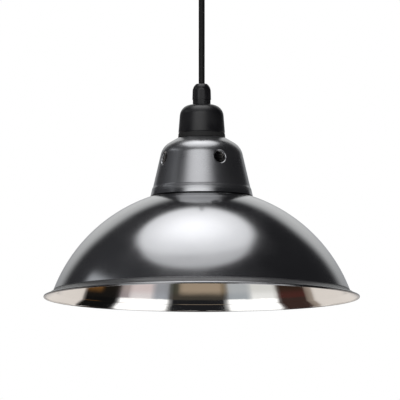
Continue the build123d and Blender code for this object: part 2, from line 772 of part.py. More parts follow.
block_z = -STRAP_T - BLOCK_H / 2 - BLOCK_TUBE_DROP
terminal_top_z = terminal_z + TERMINAL_SIZE
for side, pole in ((1, "live"), (-1, "neutral")):
    lower_route = [
        (side * WIRE_X, 0, flex_end_z - STRIP_GAP),
        (side * WIRE_X, 0, flex_end_z - WIRE_LEAD),
        (side * TERMINAL_X, 0, terminal_top_z + WIRE_RISE),
        (side * TERMINAL_X, 0, terminal_top_z - WIRE_ENTRY),
    ]
    wire(f"{pole}_wire", lower_route)
    block_entry_y = -BLOCK_Y / 2 - TAIL_OUT
    run_z = -STRAP_T - BLOCK_H - TAIL_DROP
    upper_route = [
        (side * WIRE_X, 0, FLEX_TAIL_Z),
        (side * WIRE_X, 0, run_z),
        (side * BLOCK_POLE_X, block_entry_y, run_z),
        (side * BLOCK_POLE_X, block_entry_y, block_z),
        (side * BLOCK_POLE_X, TAIL_ENTRY - BLOCK_Y / 2, block_z),
    ]
    wire(f"{pole}_tail", upper_route)


# ---------------------------------------------------------------- ceiling fitting
with BuildPart() as canopy:
    with BuildSketch(Plane.XZ):
        with BuildLine():
            FilletPolyline(
                (CANOPY_R, 0),
                (CANOPY_R, -CANOPY_H),
                (GRIP_THREAD_R + FIT_GAP, -CANOPY_H),
                radius=[CANOPY_ROUND],
            )
            offset(amount=CANOPY_T, side=Side.RIGHT)
        make_face()
    revolve(axis=Axis.Z)
    with BuildSketch(Plane.YZ):
        with Locations((0, SIDE_SCREW_Z)):
            Circle(SIDE_SCREW_R + SIDE_SCREW_GAP)
    extrude(amount=CANOPY_R + CUT_OVER, both=True, mode=Mode.SUBTRACT)
finish(canopy, "canopy")

tab_x = sqrt((CANOPY_R - CANOPY_T) ** 2 - (STRAP_W / 2) ** 2) - STRAP_GAP
with BuildPart() as ceiling_bracket:
    with BuildSketch(Plane.XZ):
        with BuildLine():
            FilletPolyline(
                (-tab_x, -STRAP_TAB),
                (-tab_x, 0),
                (tab_x, 0),
                (tab_x, -STRAP_TAB),
                radius=[STRAP_BEND_R, STRAP_BEND_R],
            )
            offset(amount=STRAP_T, side=Side.RIGHT)
        make_face()
    extrude(amount=STRAP_W / 2, both=True)
    with BuildSketch(Plane.XY):
        with Locations((SLOT_SPACING / 2, 0), (-SLOT_SPACING / 2, 0)):
            SlotOverall(SLOT_LENGTH, 2 * SLOT_R)
        Circle(BLOCK_FIX_R + FIT_GAP)
    extrude(amount=-STRAP_T, mode=Mode.SUBTRACT)
    with BuildSketch(Plane.YZ):
        with Locations((0, SIDE_SCREW_Z)):
            Circle(SIDE_SCREW_R + FIT_GAP)
    extrude(amount=tab_x + CUT_OVER, both=True, mode=Mode.SUBTRACT)
finish(ceiling_bracket, "ceiling_bracket")

with BuildPart() as canopy_screws:
    for way in (1, -1):
        face = Plane(origin=(way * CANOPY_R, 0, SIDE_SCREW_Z), z_dir=(way, 0, 0))
        with BuildSketch(face):
            Circle(SIDE_SCREW_R)
        extrude(amount=-SIDE_SCREW_L)
        with BuildSketch(face):
            Circle(SIDE_SCREW_HEAD_R)
        extrude(amount=SIDE_SCREW_HEAD_T)
    tops = canopy_screws.edges().filter_by(GeomType.CIRCLE)
    head_rims = [rim for rim in tops if abs(rim.center().X) > CANOPY_R + SIDE_SCREW_HEAD_T / 2]
    fillet(head_rims, radius=SIDE_SCREW_ROUND)
    for way in (1, -1):
        face = Plane(origin=(way * CANOPY_R, 0, SIDE_SCREW_Z), z_dir=(way, 0, 0))
        with BuildSketch(face.offset(SIDE_SCREW_HEAD_T)):
            Rectangle(2 * SIDE_SCREW_HEAD_R, DRIVER_SLOT)
        extrude(amount=-DRIVER_SLOT, mode=Mode.SUBTRACT)
finish(canopy_screws, "canopy_screws")

# Two-way terminal block, screwed up under the strap: brass tubes run along Y, one for each core.
block_top_z = -STRAP_T
poles = (BLOCK_POLE_X, -BLOCK_POLE_X)
clamp_spots = [(x, y) for x in poles for y in (BLOCK_SCREW_Y, -BLOCK_SCREW_Y)]
block_foot_z = block_top_z - BLOCK_H
with BuildPart() as terminal_block:
    with BuildSketch(Plane.XY.offset(block_top_z)):
        RectangleRounded(BLOCK_X, BLOCK_Y, BLOCK_ROUND)
        Circle(BLOCK_FIX_R + FIT_GAP, mode=Mode.SUBTRACT)
    extrude(amount=-BLOCK_H)
    with BuildSketch(Plane.XZ):
        with Locations(*[(x, block_z) for x in poles]):
            Circle(BLOCK_TUBE_R)
    extrude(amount=BLOCK_Y, both=True, mode=Mode.SUBTRACT)
    with BuildSketch(Plane.XY.offset(block_foot_z)):
        with Locations(*clamp_spots):
            Circle(CLAMP_WELL_R)
    extrude(amount=block_z - block_foot_z, mode=Mode.SUBTRACT)
finish(terminal_block, "terminal_block")

with BuildPart() as block_tubes:
    with BuildSketch(Plane.XZ):
        with Locations(*[(x, block_z) for x in poles]):
            Circle(BLOCK_TUBE_R - FIT_GAP)
            Circle(BLOCK_HOLE_R, mode=Mode.SUBTRACT)
    extrude(amount=BLOCK_Y / 2 - BLOCK_TUBE_INSET, both=True)
    with BuildSketch(Plane.XY.offset(block_z)):
        with Locations(*clamp_spots):
            Circle(CLAMP_SCREW_R + FIT_GAP)
    extrude(amount=-BLOCK_H, mode=Mode.SUBTRACT)
finish(block_tubes, "block_tubes")

clamp_tip_z = block_z - WIRE_R - FIT_GAP
clamp_head_z = block_z - BLOCK_TUBE_R
with BuildPart() as block_screws:
    with BuildSketch(Plane.XY.offset(clamp_tip_z)):
        with Locations(*clamp_spots):
            Circle(CLAMP_SCREW_R)
    extrude(amount=clamp_head_z - clamp_tip_z)
    with BuildSketch(Plane.XY.offset(clamp_head_z)):
        with Locations(*clamp_spots):
            Circle(CLAMP_HEAD_R)
    extrude(amount=-CLAMP_HEAD_T)
    with BuildSketch(Plane.XY.offset(clamp_head_z - CLAMP_HEAD_T)):
        with Locations(*clamp_spots):
            Rectangle(2 * CLAMP_HEAD_R, SCREW_SLOT_W)
    extrude(amount=DRIVER_SLOT, mode=Mode.SUBTRACT)
finish(block_screws, "block_screws")

with BuildPart() as block_fixing_screw:
    with BuildSketch(Plane.XY):
        Circle(BLOCK_FIX_R)
    extrude(amount=block_foot_z)
    with BuildSketch(Plane.XY.offset(block_foot_z)):
        Circle(BLOCK_FIX_HEAD_R)
    extrude(amount=-BLOCK_FIX_HEAD_T)
    with BuildSketch(Plane.XY.offset(block_foot_z - BLOCK_FIX_HEAD_T)):
        Rectangle(2 * BLOCK_FIX_HEAD_R, SCREW_SLOT_W)
    extrude(amount=SCREW_SLOT_W, mode=Mode.SUBTRACT)
finish(block_fixing_screw, "block_fixing_screw")
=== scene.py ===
import bisect
import json
from math import acos, asin, atan2, cos, degrees, dist, pi, radians, sin, sqrt, tan

import bpy
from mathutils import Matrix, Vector


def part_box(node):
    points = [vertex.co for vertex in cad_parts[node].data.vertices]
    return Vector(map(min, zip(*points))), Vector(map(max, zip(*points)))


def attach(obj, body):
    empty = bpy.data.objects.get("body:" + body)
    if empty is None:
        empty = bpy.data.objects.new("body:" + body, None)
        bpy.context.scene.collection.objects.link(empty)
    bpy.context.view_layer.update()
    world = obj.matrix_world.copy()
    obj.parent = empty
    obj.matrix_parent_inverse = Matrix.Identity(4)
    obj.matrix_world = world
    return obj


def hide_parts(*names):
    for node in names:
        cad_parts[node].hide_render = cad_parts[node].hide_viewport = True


# Looks for the pendant ceiling light. Profiles are in millimetres, as radius and height: heights
# count up from the shade's lower edge, or out from the face that a cord grip stands on. The packed
# frame gives the places of those faces.
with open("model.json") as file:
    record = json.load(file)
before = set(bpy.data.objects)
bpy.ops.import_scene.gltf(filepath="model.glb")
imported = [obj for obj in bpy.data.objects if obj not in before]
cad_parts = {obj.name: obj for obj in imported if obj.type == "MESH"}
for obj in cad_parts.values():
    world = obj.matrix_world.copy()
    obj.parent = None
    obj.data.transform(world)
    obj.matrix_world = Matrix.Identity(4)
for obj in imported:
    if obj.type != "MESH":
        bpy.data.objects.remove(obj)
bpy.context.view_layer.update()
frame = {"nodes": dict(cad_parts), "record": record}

MM = 0.001
TURN = 2 * pi
ON_AXIS = 1e-6
# How finely pieces and corners are cut, and the fold, in degrees, from which an edge stays sharp.
AROUND = 256
CORNER_STEPS = 8
SHARP = 35.0

# Camera: square to the lamp, a little below it and far away, so that the lamp looks flat on.
CAMERA_FAR = 12.0
CAMERA_RISE = 5.65
FRAME_WIDTH = 0.3795
SENSOR = 36.0
AIM_X = -0.0016
AIM_DOWN = 0.2458

# Shade.
SHADE_R = 150.0
SHEET = 1.0
SKIN = 0.49
DOME_R = 150.5
DOME_DROP = 47.4
FLARE_ANGLE = 20.7
LIP_SLOPE = 30.5
FLARE_R = 1.5
BEAD_R = 1.1
BEAD_SPLIT = -110.0
BEAD_STEPS = 12
DOME_STEPS = 90
FLARE_STEPS = 24
NECK_FOOT_R = 48.1
NECK_FOOT_H = 95.85
NECK_LEAN = 13.1
NECK_SLOPE = 30.0
NECK_SHOULDER_R = 17.0
NECK_TOP_R = 22.6
JOGGLE = 0.5
JOGGLE_TOP_H = 104.2
JOGGLE_FOOT_H = 102.6
JOGGLE_ROUND = 1.2
NECK_SEAT_H = 151.3
NECK_HOLE_R = 20.3
NECK_EDGE_ROUND = 1.5
COLLAR_H = 8.0
COLLAR_GAP = 0.05
VENT_COUNT = 4
VENT_H = 130.4
VENT_START = 26.0
VENT_R = 5.5
VENT_ROLL_R = 2.0
VENT_DEPTH = 2.0
VENT_CELLS = 8
PATCH_CELLS = 12
VENT_EASE = 0.7
EDGE_EASE = 0.2
NECK_STEPS = 32
ROLL_STEPS = 8
NOSE_STEPS = 6

# Paint: heights where the rim's band of painted shade, darker and duller, comes and goes, and
# where the neck's duller finish begins.
LIP_SHADOW = (1.0, 1.6, 5.9, 6.8)
LIP_SHADE_TONE = (0.012, 0.012, 0.013)
LIP_MATT = 0.45
NECK_BRUSHED = (98.0, 101.0)
NECK_MATT = 0.13

# Lampholder: heights above the shade's lower edge.
CAP_TOP_H = 182.9
CAP_BASE_R = 22.45
CAP_TAPER = 4.5
CAP_SHOULDER_R = 11.0
CAP_WALL = 2.2
CAP_BOSS_H = 10.0
CAP_GROOVE_H = 4.6
GROOVE_HALF = 0.6
GROOVE_FLOOR = 0.3
GROOVE_DEPTH = 0.4
EDGE_ROUND = 0.35
CAP_STEPS = 20
FIT_GAP = 0.05
SKIRT_R = 19.7
SKIRT_WALL = 2.5
SKIRT_FOOT_H = 120.0
SHELL_OUTER_R = 14.5
SHELL_MIDDLE_R = 13.85
SHELL_SWING = 0.25
SHELL_FOOT_H = 122.8
SHELL_TOP_H = 143.95
SHELL_LID_T = 0.6
SHELL_LID_BORE_R = 10.6
INSERT_FOOT_H = 121.5
E27_PITCH = 3.63
E27_STEP = 0.2
RING_PITCH = 2.5
RING_THREAD = 0.3
RING_THREAD_STEP = 0.25

# Shade ring.
RING_GAP = 0.1
WASHER_T = 0.8
RING_R = 28.0
RING_T = 2.4
RING_HUB_H = 9.0
RING_HUB_WALL = 2.6
RING_GRIPS = 12
RING_GRIP_R = 2.4
RING_GRIP_INSET = 1.2
RING_AROUND = 360
RING_STEPS = 4

# Bulb: heights above the shade's lower edge.
BULB_TIP_H = 143.0
BULB_CONTACT_R = 4.6
BULB_CONTACT_T = 1.4
BULB_CONTACT_ROUND = 1.26
BULB_INSULATOR_R = 10.0
BULB_INSULATOR_T = 2.2
BULB_CAP_MIDDLE_R = 12.675
BULB_CAP_SWING = 0.475
BULB_CAP_WALL = 0.5
BULB_CAP_TURNS = 5
BULB_CAP_LAND = 1.0
BULB_CAP_HOLE_R = 8.0
BULB_SKIRT_R = 13.45
BULB_SKIRT_H = 116.0
GLASS_R = 30.0
GLASS_NECK_R = 12.9
GLASS_TOP_H = 119.5
GLASS_CENTRE_H = 67.0
GLASS_WALL = 0.8
GLASS_TANGENT = 30.0
GLASS_FILLET_R = 15.0
GLOBE_STEPS = 72
THROAT_STEPS = 24
FILAMENT_R = 0.9
FILAMENT_RING_R = 7.0
FILAMENT_LENGTH = 34.0
FILAMENT_COUNT = 4
FILAMENT_TAB = 1.4
TAB_AROUND = 24
GEL_R = 0.846
GEL_END = 2.0
GEL_STEP = 0.5
GEL_LUMP = 0.03
GEL_WAVES = (2.9, 1.3)
GEL_AROUND = 32
STEM_R = 2.2
STEM_FOOT_H = 92.0
STEM_NECK_H = 96.0
STEM_FLARE_H = 110.0
STEM_FLARE_R = 4.4
STEM_TIP = 0.6
STEM_STEPS = 12
BULB_AROUND = 96

# Cord grips: heights out from the face that they stand on.
HEX_SIDES = 6
GRIP_AROUND = 192
GRIP_H = 19.9
GRIP_COLLAR_H = 4.8
GRIP_COLLAR_R = 8.45
GRIP_COLLAR_FLAT = 8.1
GRIP_NUT_R = 8.9
GRIP_NUT_FLAT = 8.35
GRIP_NUT_TOP_R = 5.3
GRIP_NUT_SHOULDER = 13.2
GRIP_NUT_SHOULDER_R = 8.65
GRIP_NUT_BULGE = 0.5
GRIP_NUT_WALL = 2.3
GRIP_NUT_SEAT_R = 4.8
GRIP_NUT_SEAT_T = 0.4
GRIP_NUT_STEP = 0.6
GRIP_NECK_R = 6.2
GRIP_NECK_H = 12.0
GRIP_BORE_R = 3.5
GRIP_MOUTH_R = 3.25
GRIP_BELL_R = 4.4
GRIP_BELL_T = 1.3
GRIP_SEAL_R = 5.4
GRIP_SEAL_BASE = 6.0
GRIP_THREAD_R = 5.0
GRIP_THREAD_L = 6.4
GRIP_PITCH = 1.0
GRIP_THREAD_STEP = 0.12
GRIP_SOFT = 0.18
GRIP_BODY_STEPS = 6
GRIP_NUT_STEPS = 5
SHOULDER_STEPS = 40

# Flex. Its route runs from the swing's centre in the upper grip's mouth down into the lampholder
# cap, and is in metres.
FLEX_R = 2.9
FLEX_SIDES = 12
FLEX_STEPS = 24
FLEX_ROUTE = ((0.0, 0.0, -0.0469), (0.0, 0.0, -0.0499), (0.0, 0.0, -0.1647))

# Stage. Light colours are linear, and 1 is white.
FLOOR_DROP = 1.5
FLOOR_R = 1.0
FLOOR_SIDES = 96
FLOOR_TONES = ((0.80, 0.80, 0.79), (0.83, 0.83, 0.82))
SEEN_WHITE = (1.0, 1.0, 1.0)
GRAZING = 0.001
ROOM_DARK = (0.050, 0.050, 0.054)
ROOM_PALE = (0.130, 0.130, 0.138)
ROOM_TURN = (-0.7, 0.5)
# Round lights: centre and reach across and along, on a plane one unit away.
SOFTBOX = (-0.07, 0.03, 0.57, 0.50)
SOFTBOX_EDGE = (1.06, 0.84)
SOFTBOX_LIGHT = (3.1, 3.1, 3.1)
LAMP_EDGE = (0.85, 0.10)
LAMP_LIGHT = (4.8, 4.8, 4.8)
APRON = (-0.07, -0.18, 0.57, 0.56)
APRON_EDGE = (1.05, 0.94)
APRON_LIGHT = (2.1, 2.1, 2.1)
CARD = (-0.30, 0.50, 1.15, 0.55)
CARD_EDGE = (1.0, 0.35)
CARD_LIGHT = (3.2, 3.2, 3.2)
# Windows of light: two edges across, then two edges along, on a plane one unit away.
BACKDROP = (-0.66, 0.70, -0.05, 0.94)
BACKDROP_SOFT = 0.40
BACKDROP_LOW = (0.30, 0.31, 0.33)
BACKDROP_HIGH = (1.06, 1.07, 1.06)
BACKDROP_RISE = (0.05, 0.50)
SIDE_CARD = (-0.32, 0.42, 0.58, 0.70)
SIDE_CARD_SOFT = 0.16
SIDE_CARD_LIGHT = (2.0, 2.05, 2.1)
# What the bright lining mirrors from below, as fans of colour. Each colour runs on from its
# angle, which is the turn round the lining's axis where the camera meets that light. A fan starts
# and ends warm.
WARM = (0.80, 0.745, 0.70)
WARM_FROM = 54.0
WHITE = (1.6, 1.6, 1.6)
LIP_FAN = (
    (-50.0, (0.30, 0.25, 0.21)),
    (-46.0, (0.045, 0.026, 0.022)),
    (-31.5, WHITE),
    (-10.4, (0.014, 0.014, 0.016)),
    (13.3, WHITE),
    (34.4, (0.006, 0.006, 0.006)),
)
LOW_FAN = (
    (-50.0, (0.30, 0.25, 0.21)),
    (-46.0, (0.070, 0.024, 0.020)),
    (-31.5, (0.95, 0.95, 0.94)),
    (-20, (0.40, 0.43, 0.46)),
    (-10.4, (0.060, 0.052, 0.042)),
    (13.3, (0.38, 0.40, 0.44)),
    (20, (0.80, 0.75, 0.76)),
    (30, (0.36, 0.31, 0.32)),
    (34.4, (0.010, 0.009, 0.008)),
)
HIGH_FAN = (
    (-50.0, (0.34, 0.28, 0.24)),
    (-46.0, (0.035, 0.020, 0.014)),
    (-31.5, (0.75, 0.75, 0.73)),
    (-20, (0.48, 0.50, 0.52)),
    (-10.4, (0.20, 0.15, 0.09)),
    (-8, (0.38, 0.30, 0.22)),
    (9, (0.060, 0.060, 0.045)),
    (13.3, (0.34, 0.35, 0.38)),
    (20, (0.70, 0.60, 0.60)),
    (30, (0.40, 0.34, 0.33)),
    (34.4, (0.012, 0.010, 0.008)),
    (44, (0.16, 0.075, 0.022)),
)
FAN_BLEND = 1.0
# Tilts of the lining, in degrees, between which the low and high fans show, and over which the low
# one gives way to the high one. The lip's fan shows everywhere else.
LOW_TILTS = (22.6, 31.0)
LOW_SOFT = 0.4
HIGH_TILTS = (23.5, 26.5)
BELOW_EDGE = (-0.06, 0.0)


# ---------------- camera
def into_scene(name, data):
    """A new object of the scene."""
    item = bpy.data.objects.new(name, data)
    bpy.context.scene.collection.objects.link(item)
    return item


def make_camera():
    rise_angle = radians(CAMERA_RISE)
    data = bpy.data.cameras.new("camera")
    data.sensor_width = SENSOR
    data.lens = SENSOR * CAMERA_FAR / FRAME_WIDTH
    data.clip_end = 4 * CAMERA_FAR
    camera = into_scene("camera", data)
    look = Vector((0.0, cos(rise_angle), sin(rise_angle)))
    camera.location = Vector((AIM_X, 0.0, -AIM_DOWN)) - look * CAMERA_FAR
    camera.rotation_euler = look.to_track_quat("-Z", "Y").to_euler()
    bpy.context.scene.camera = camera


make_camera()


# ---------------- flex
def make_flex():
    curve = bpy.data.curves.new("flex_cord", "CURVE")
    curve.dimensions = "3D"
    curve.bevel_depth = 1.0
    curve.bevel_resolution = FLEX_SIDES
    curve.resolution_u = FLEX_STEPS
    curve.use_fill_caps = True
    spline = curve.splines.new("NURBS")
    spline.points.add(len(FLEX_ROUTE) - 1)
    for point, place in zip(spline.points, FLEX_ROUTE):
        point.co = (*place, 1.0)
        point.radius = FLEX_R * MM
    spline.order_u = 3
    spline.use_endpoint_u = True
    piece = into_scene("flex_cord", curve)
    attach(piece, "flex_line")
    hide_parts("flex")
    return piece


flex_cord = make_flex()

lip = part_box("lampholder_cap")[0].z / MM - NECK_SEAT_H


def rise(height):
    """Frame height, in millimetres, of a height above the shade's lower edge."""
    return lip + height


def raised(outline):
    """An outline whose heights above the shade's lower edge become frame heights."""
    return [(corner[0], rise(corner[1]), *corner[2:]) for corner in outline]


def polar(radius, angle):
    """Point at a distance and an angle, in degrees, from the origin of a profile."""
    return radius * cos(radians(angle)), radius * sin(radians(angle))


def arc(centre, radius, start, end, steps):
    """Points along a round stretch of a profile, both ends included."""
    points = []
    for step in range(steps + 1):
        x, y = polar(radius, start + (end - start) * step / steps)
        points.append((centre[0] + x, centre[1] + y))
    return points


def swept(centre, first, last, steps):
    """Points along the arc round a centre from its first spoke to its last."""
    start = degrees(atan2(first.y, first.x))
    end = start - degrees(first.angle_signed(last))
    return arc(centre, first.length, start, end, steps)


def through(first, middle, last, steps):
    """Points along the arc through three points, both ends included."""
    a, b, c = Vector(first), Vector(middle), Vector(last)
    across = 2 * ((b - a).x * (c - a).y - (b - a).y * (c - a).x)
    ab, ac = (b - a).length_squared, (c - a).length_squared
    shift = Vector(((c - a).y * ab - (b - a).y * ac, (b - a).x * ac - (c - a).x * ab)) / across
    centre = a + shift
    return swept(centre, a - centre, c - centre, steps)


def rounded(corners, steps=CORNER_STEPS):
    """A profile through corners (r, h) or (r, h, radius), with each radius rounding its corner."""
    points = []
    count = len(corners)
    for index, corner in enumerate(corners):
        here = Vector(corner[:2])
        radius = corner[2] if len(corner) > 2 else 0
        if not radius:
            points.append((here.x, here.y))
            continue
        back = (Vector(corners[index - 1][:2]) - here).normalized()
        on = (Vector(corners[(index + 1) % count][:2]) - here).normalized()
        half = back.angle(on) / 2
        middle = here + (back + on).normalized() * (radius / sin(half))
        first = here + back * (radius / tan(half)) - middle
        last = here + on * (radius / tan(half)) - middle
        points += swept(middle, first, last, steps)
    return points


def mesh_object(name, vertices, faces):
    """A smooth-shaded mesh from points in millimetres, with its sharp folds kept."""
    mesh = bpy.data.meshes.new(name)
    mesh.from_pydata([(x * MM, y * MM, z * MM) for x, y, z in vertices], [], faces)
    mesh.validate()
    mesh.shade_smooth()
    mesh.set_sharp_from_angle(angle=radians(SHARP))
    return into_scene(name, mesh)


def revolve(name, outline, around=AROUND, shape=None, centres=((0.0, 0.0),)):
    """A closed outline turned round one axis or more. shape(r, h, turn) may bend it on the way."""
    vertices, faces = [], []
    ahead = outline[1:] + outline[:1]
    area = sum(a[0] * b[1] - b[0] * a[1] for a, b in zip(outline, ahead))
    path = outline if area > 0 else outline[::-1]
    for x, y in centres:
        rows = []
        for radius, height in path:
            first = len(vertices)
            if radius < ON_AXIS:
                rows.append([first] * around)
                vertices.append((x, y, height))
                continue
            rows.append(range(first, first + around))
            for step in range(around):
                turn = TURN * step / around
                r, h = shape(radius, height, turn) if shape else (radius, height)
                vertices.append((x + r * cos(turn), y + r * sin(turn), h))
        for row, following in zip(rows, rows[1:] + rows[:1]):
            for step in range(around):
                after = (step + 1) % around
                face = (row[step], row[after], following[after], following[step])
                corners = tuple(dict.fromkeys(face))
                if len(corners) > 2:
                    faces.append(corners)
    return mesh_object(name, vertices, faces)


# ---------------- shade
dome_centre = (0.0, rise(-DOME_DROP))
flare_x, flare_y = polar(DOME_R, FLARE_ANGLE)
reach_x, reach_y = polar(FLARE_R, FLARE_ANGLE)
flare_centre = (flare_x + reach_x, dome_centre[1] + flare_y + reach_y)
lip_out = Vector(polar(1.0, -LIP_SLOPE))
lip_in = Vector(polar(1.0, -90 - LIP_SLOPE))
lean = tan(radians(NECK_LEAN))
slope = tan(radians(NECK_SLOPE))


def neck_wall(height, inset):
    """Radius of the neck's leaning wall at a height above the shade's lower edge."""
    return NECK_FOOT_R - (height - NECK_FOOT_H) * lean - inset / cos(radians(NECK_LEAN))


def dome_run(inset):
    """The dome from its turned-up collar to the flared lip, inset mm inside its painted face."""
    gap = SHEET + COLLAR_GAP + inset
    foot_r = neck_wall(NECK_FOOT_H, gap)
    top = (neck_wall(NECK_FOOT_H + COLLAR_H, gap), rise(NECK_FOOT_H + COLLAR_H))
    radius = DOME_R - inset
    start = degrees(acos(foot_r / radius))
    run = [top] + arc(dome_centre, radius, start, FLARE_ANGLE, DOME_STEPS)
    flare_end = 270 - LIP_SLOPE
    flare = arc(flare_centre, FLARE_R + inset, 180 + FLARE_ANGLE, flare_end, FLARE_STEPS)
    return run + flare[1:]


def bead(start, end):
    """The bead curled along the rim, between two angles from the lip's outward way."""
    return arc(bead_middle, BEAD_R, start - LIP_SLOPE, end - LIP_SLOPE, BEAD_STEPS)


lip_corner = Vector(polar(FLARE_R, 270 - LIP_SLOPE)) + Vector(flare_centre) + lip_in * SHEET / 2
bead_middle = lip_corner + lip_out * ((SHADE_R - BEAD_R - lip_corner.x) / lip_out.x)
bead_root = 180 - degrees(asin(SHEET / 2 / BEAD_R))
split = [tuple(bead_middle)]
paint_skin = revolve(
    "dome_paint",
    dome_run(0.0) + bead(bead_root, BEAD_SPLIT) + split + dome_run(SKIN)[::-1],
)
bright_skin = revolve(
    "dome_lining",
    dome_run(SHEET - SKIN) + split + bead(BEAD_SPLIT, -bead_root) + dome_run(SHEET)[::-1],
)

corner_r = (NECK_FOOT_R + (NECK_FOOT_H - NECK_SEAT_H - NECK_TOP_R * slope) * lean) / (
    1 - slope * lean
)
corner_h = NECK_SEAT_H - (corner_r - NECK_TOP_R) * slope


class Wall:
    """A sheet's outer face: turn round the axis, and distance down its profile."""

    def __init__(self, points):
        self.points = [Vector(point) for point in points]
        self.at = [0.0]
        for first, second in zip(self.points, self.points[1:]):
            self.at.append(self.at[-1] + (second - first).length)
        runs = [(b - a).normalized() for a, b in zip(self.points, self.points[1:])]
        ways = [a + b for a, b in zip(runs[:1] + runs, runs + runs[-1:])]
        self.normals = [Vector((-way.y, way.x)).normalized() for way in ways]

    @property
    def length(self):
        return self.at[-1]

    def spot(self, turn, distance, depth):
        """Place at a turn, a distance down the profile, and a depth under the outer face."""
        index = min(max(bisect.bisect(self.at, distance) - 1, 0), len(self.at) - 2)
        share = (distance - self.at[index]) / (self.at[index + 1] - self.at[index])
        here = self.points[index].lerp(self.points[index + 1], share)
        here -= self.normals[index].lerp(self.normals[index + 1], share).normalized() * depth
        return Vector((here.x * cos(turn), here.x * sin(turn), here.y))

    def distance_to(self, height):
        """Distance down the profile where its leaning wall passes a height."""
        for index in range(len(self.points) - 1, 0, -1):
            low, high = self.points[index], self.points[index - 1]
            if high.y >= height:
                share = (height - low.y) / (high.y - low.y)
                return self.at[index] - share * (self.at[index] - self.at[index - 1])
        return 0.0


def smooth_step(share):
    share = min(max(share, 0.0), 1.0)
    return share * share * (3 - 2 * share)


def square_angle(x, y):
    """Angle, in degrees, of a point of a square ring, evenly spread along its sides."""
    reach = max(abs(x), abs(y))
    if x == reach:
        return 45 * y / reach
    if y == reach:
        return 90 - 45 * x / reach
    if x == -reach:
        return 180 - 45 * y / reach
    return 270 + 45 * x / reach


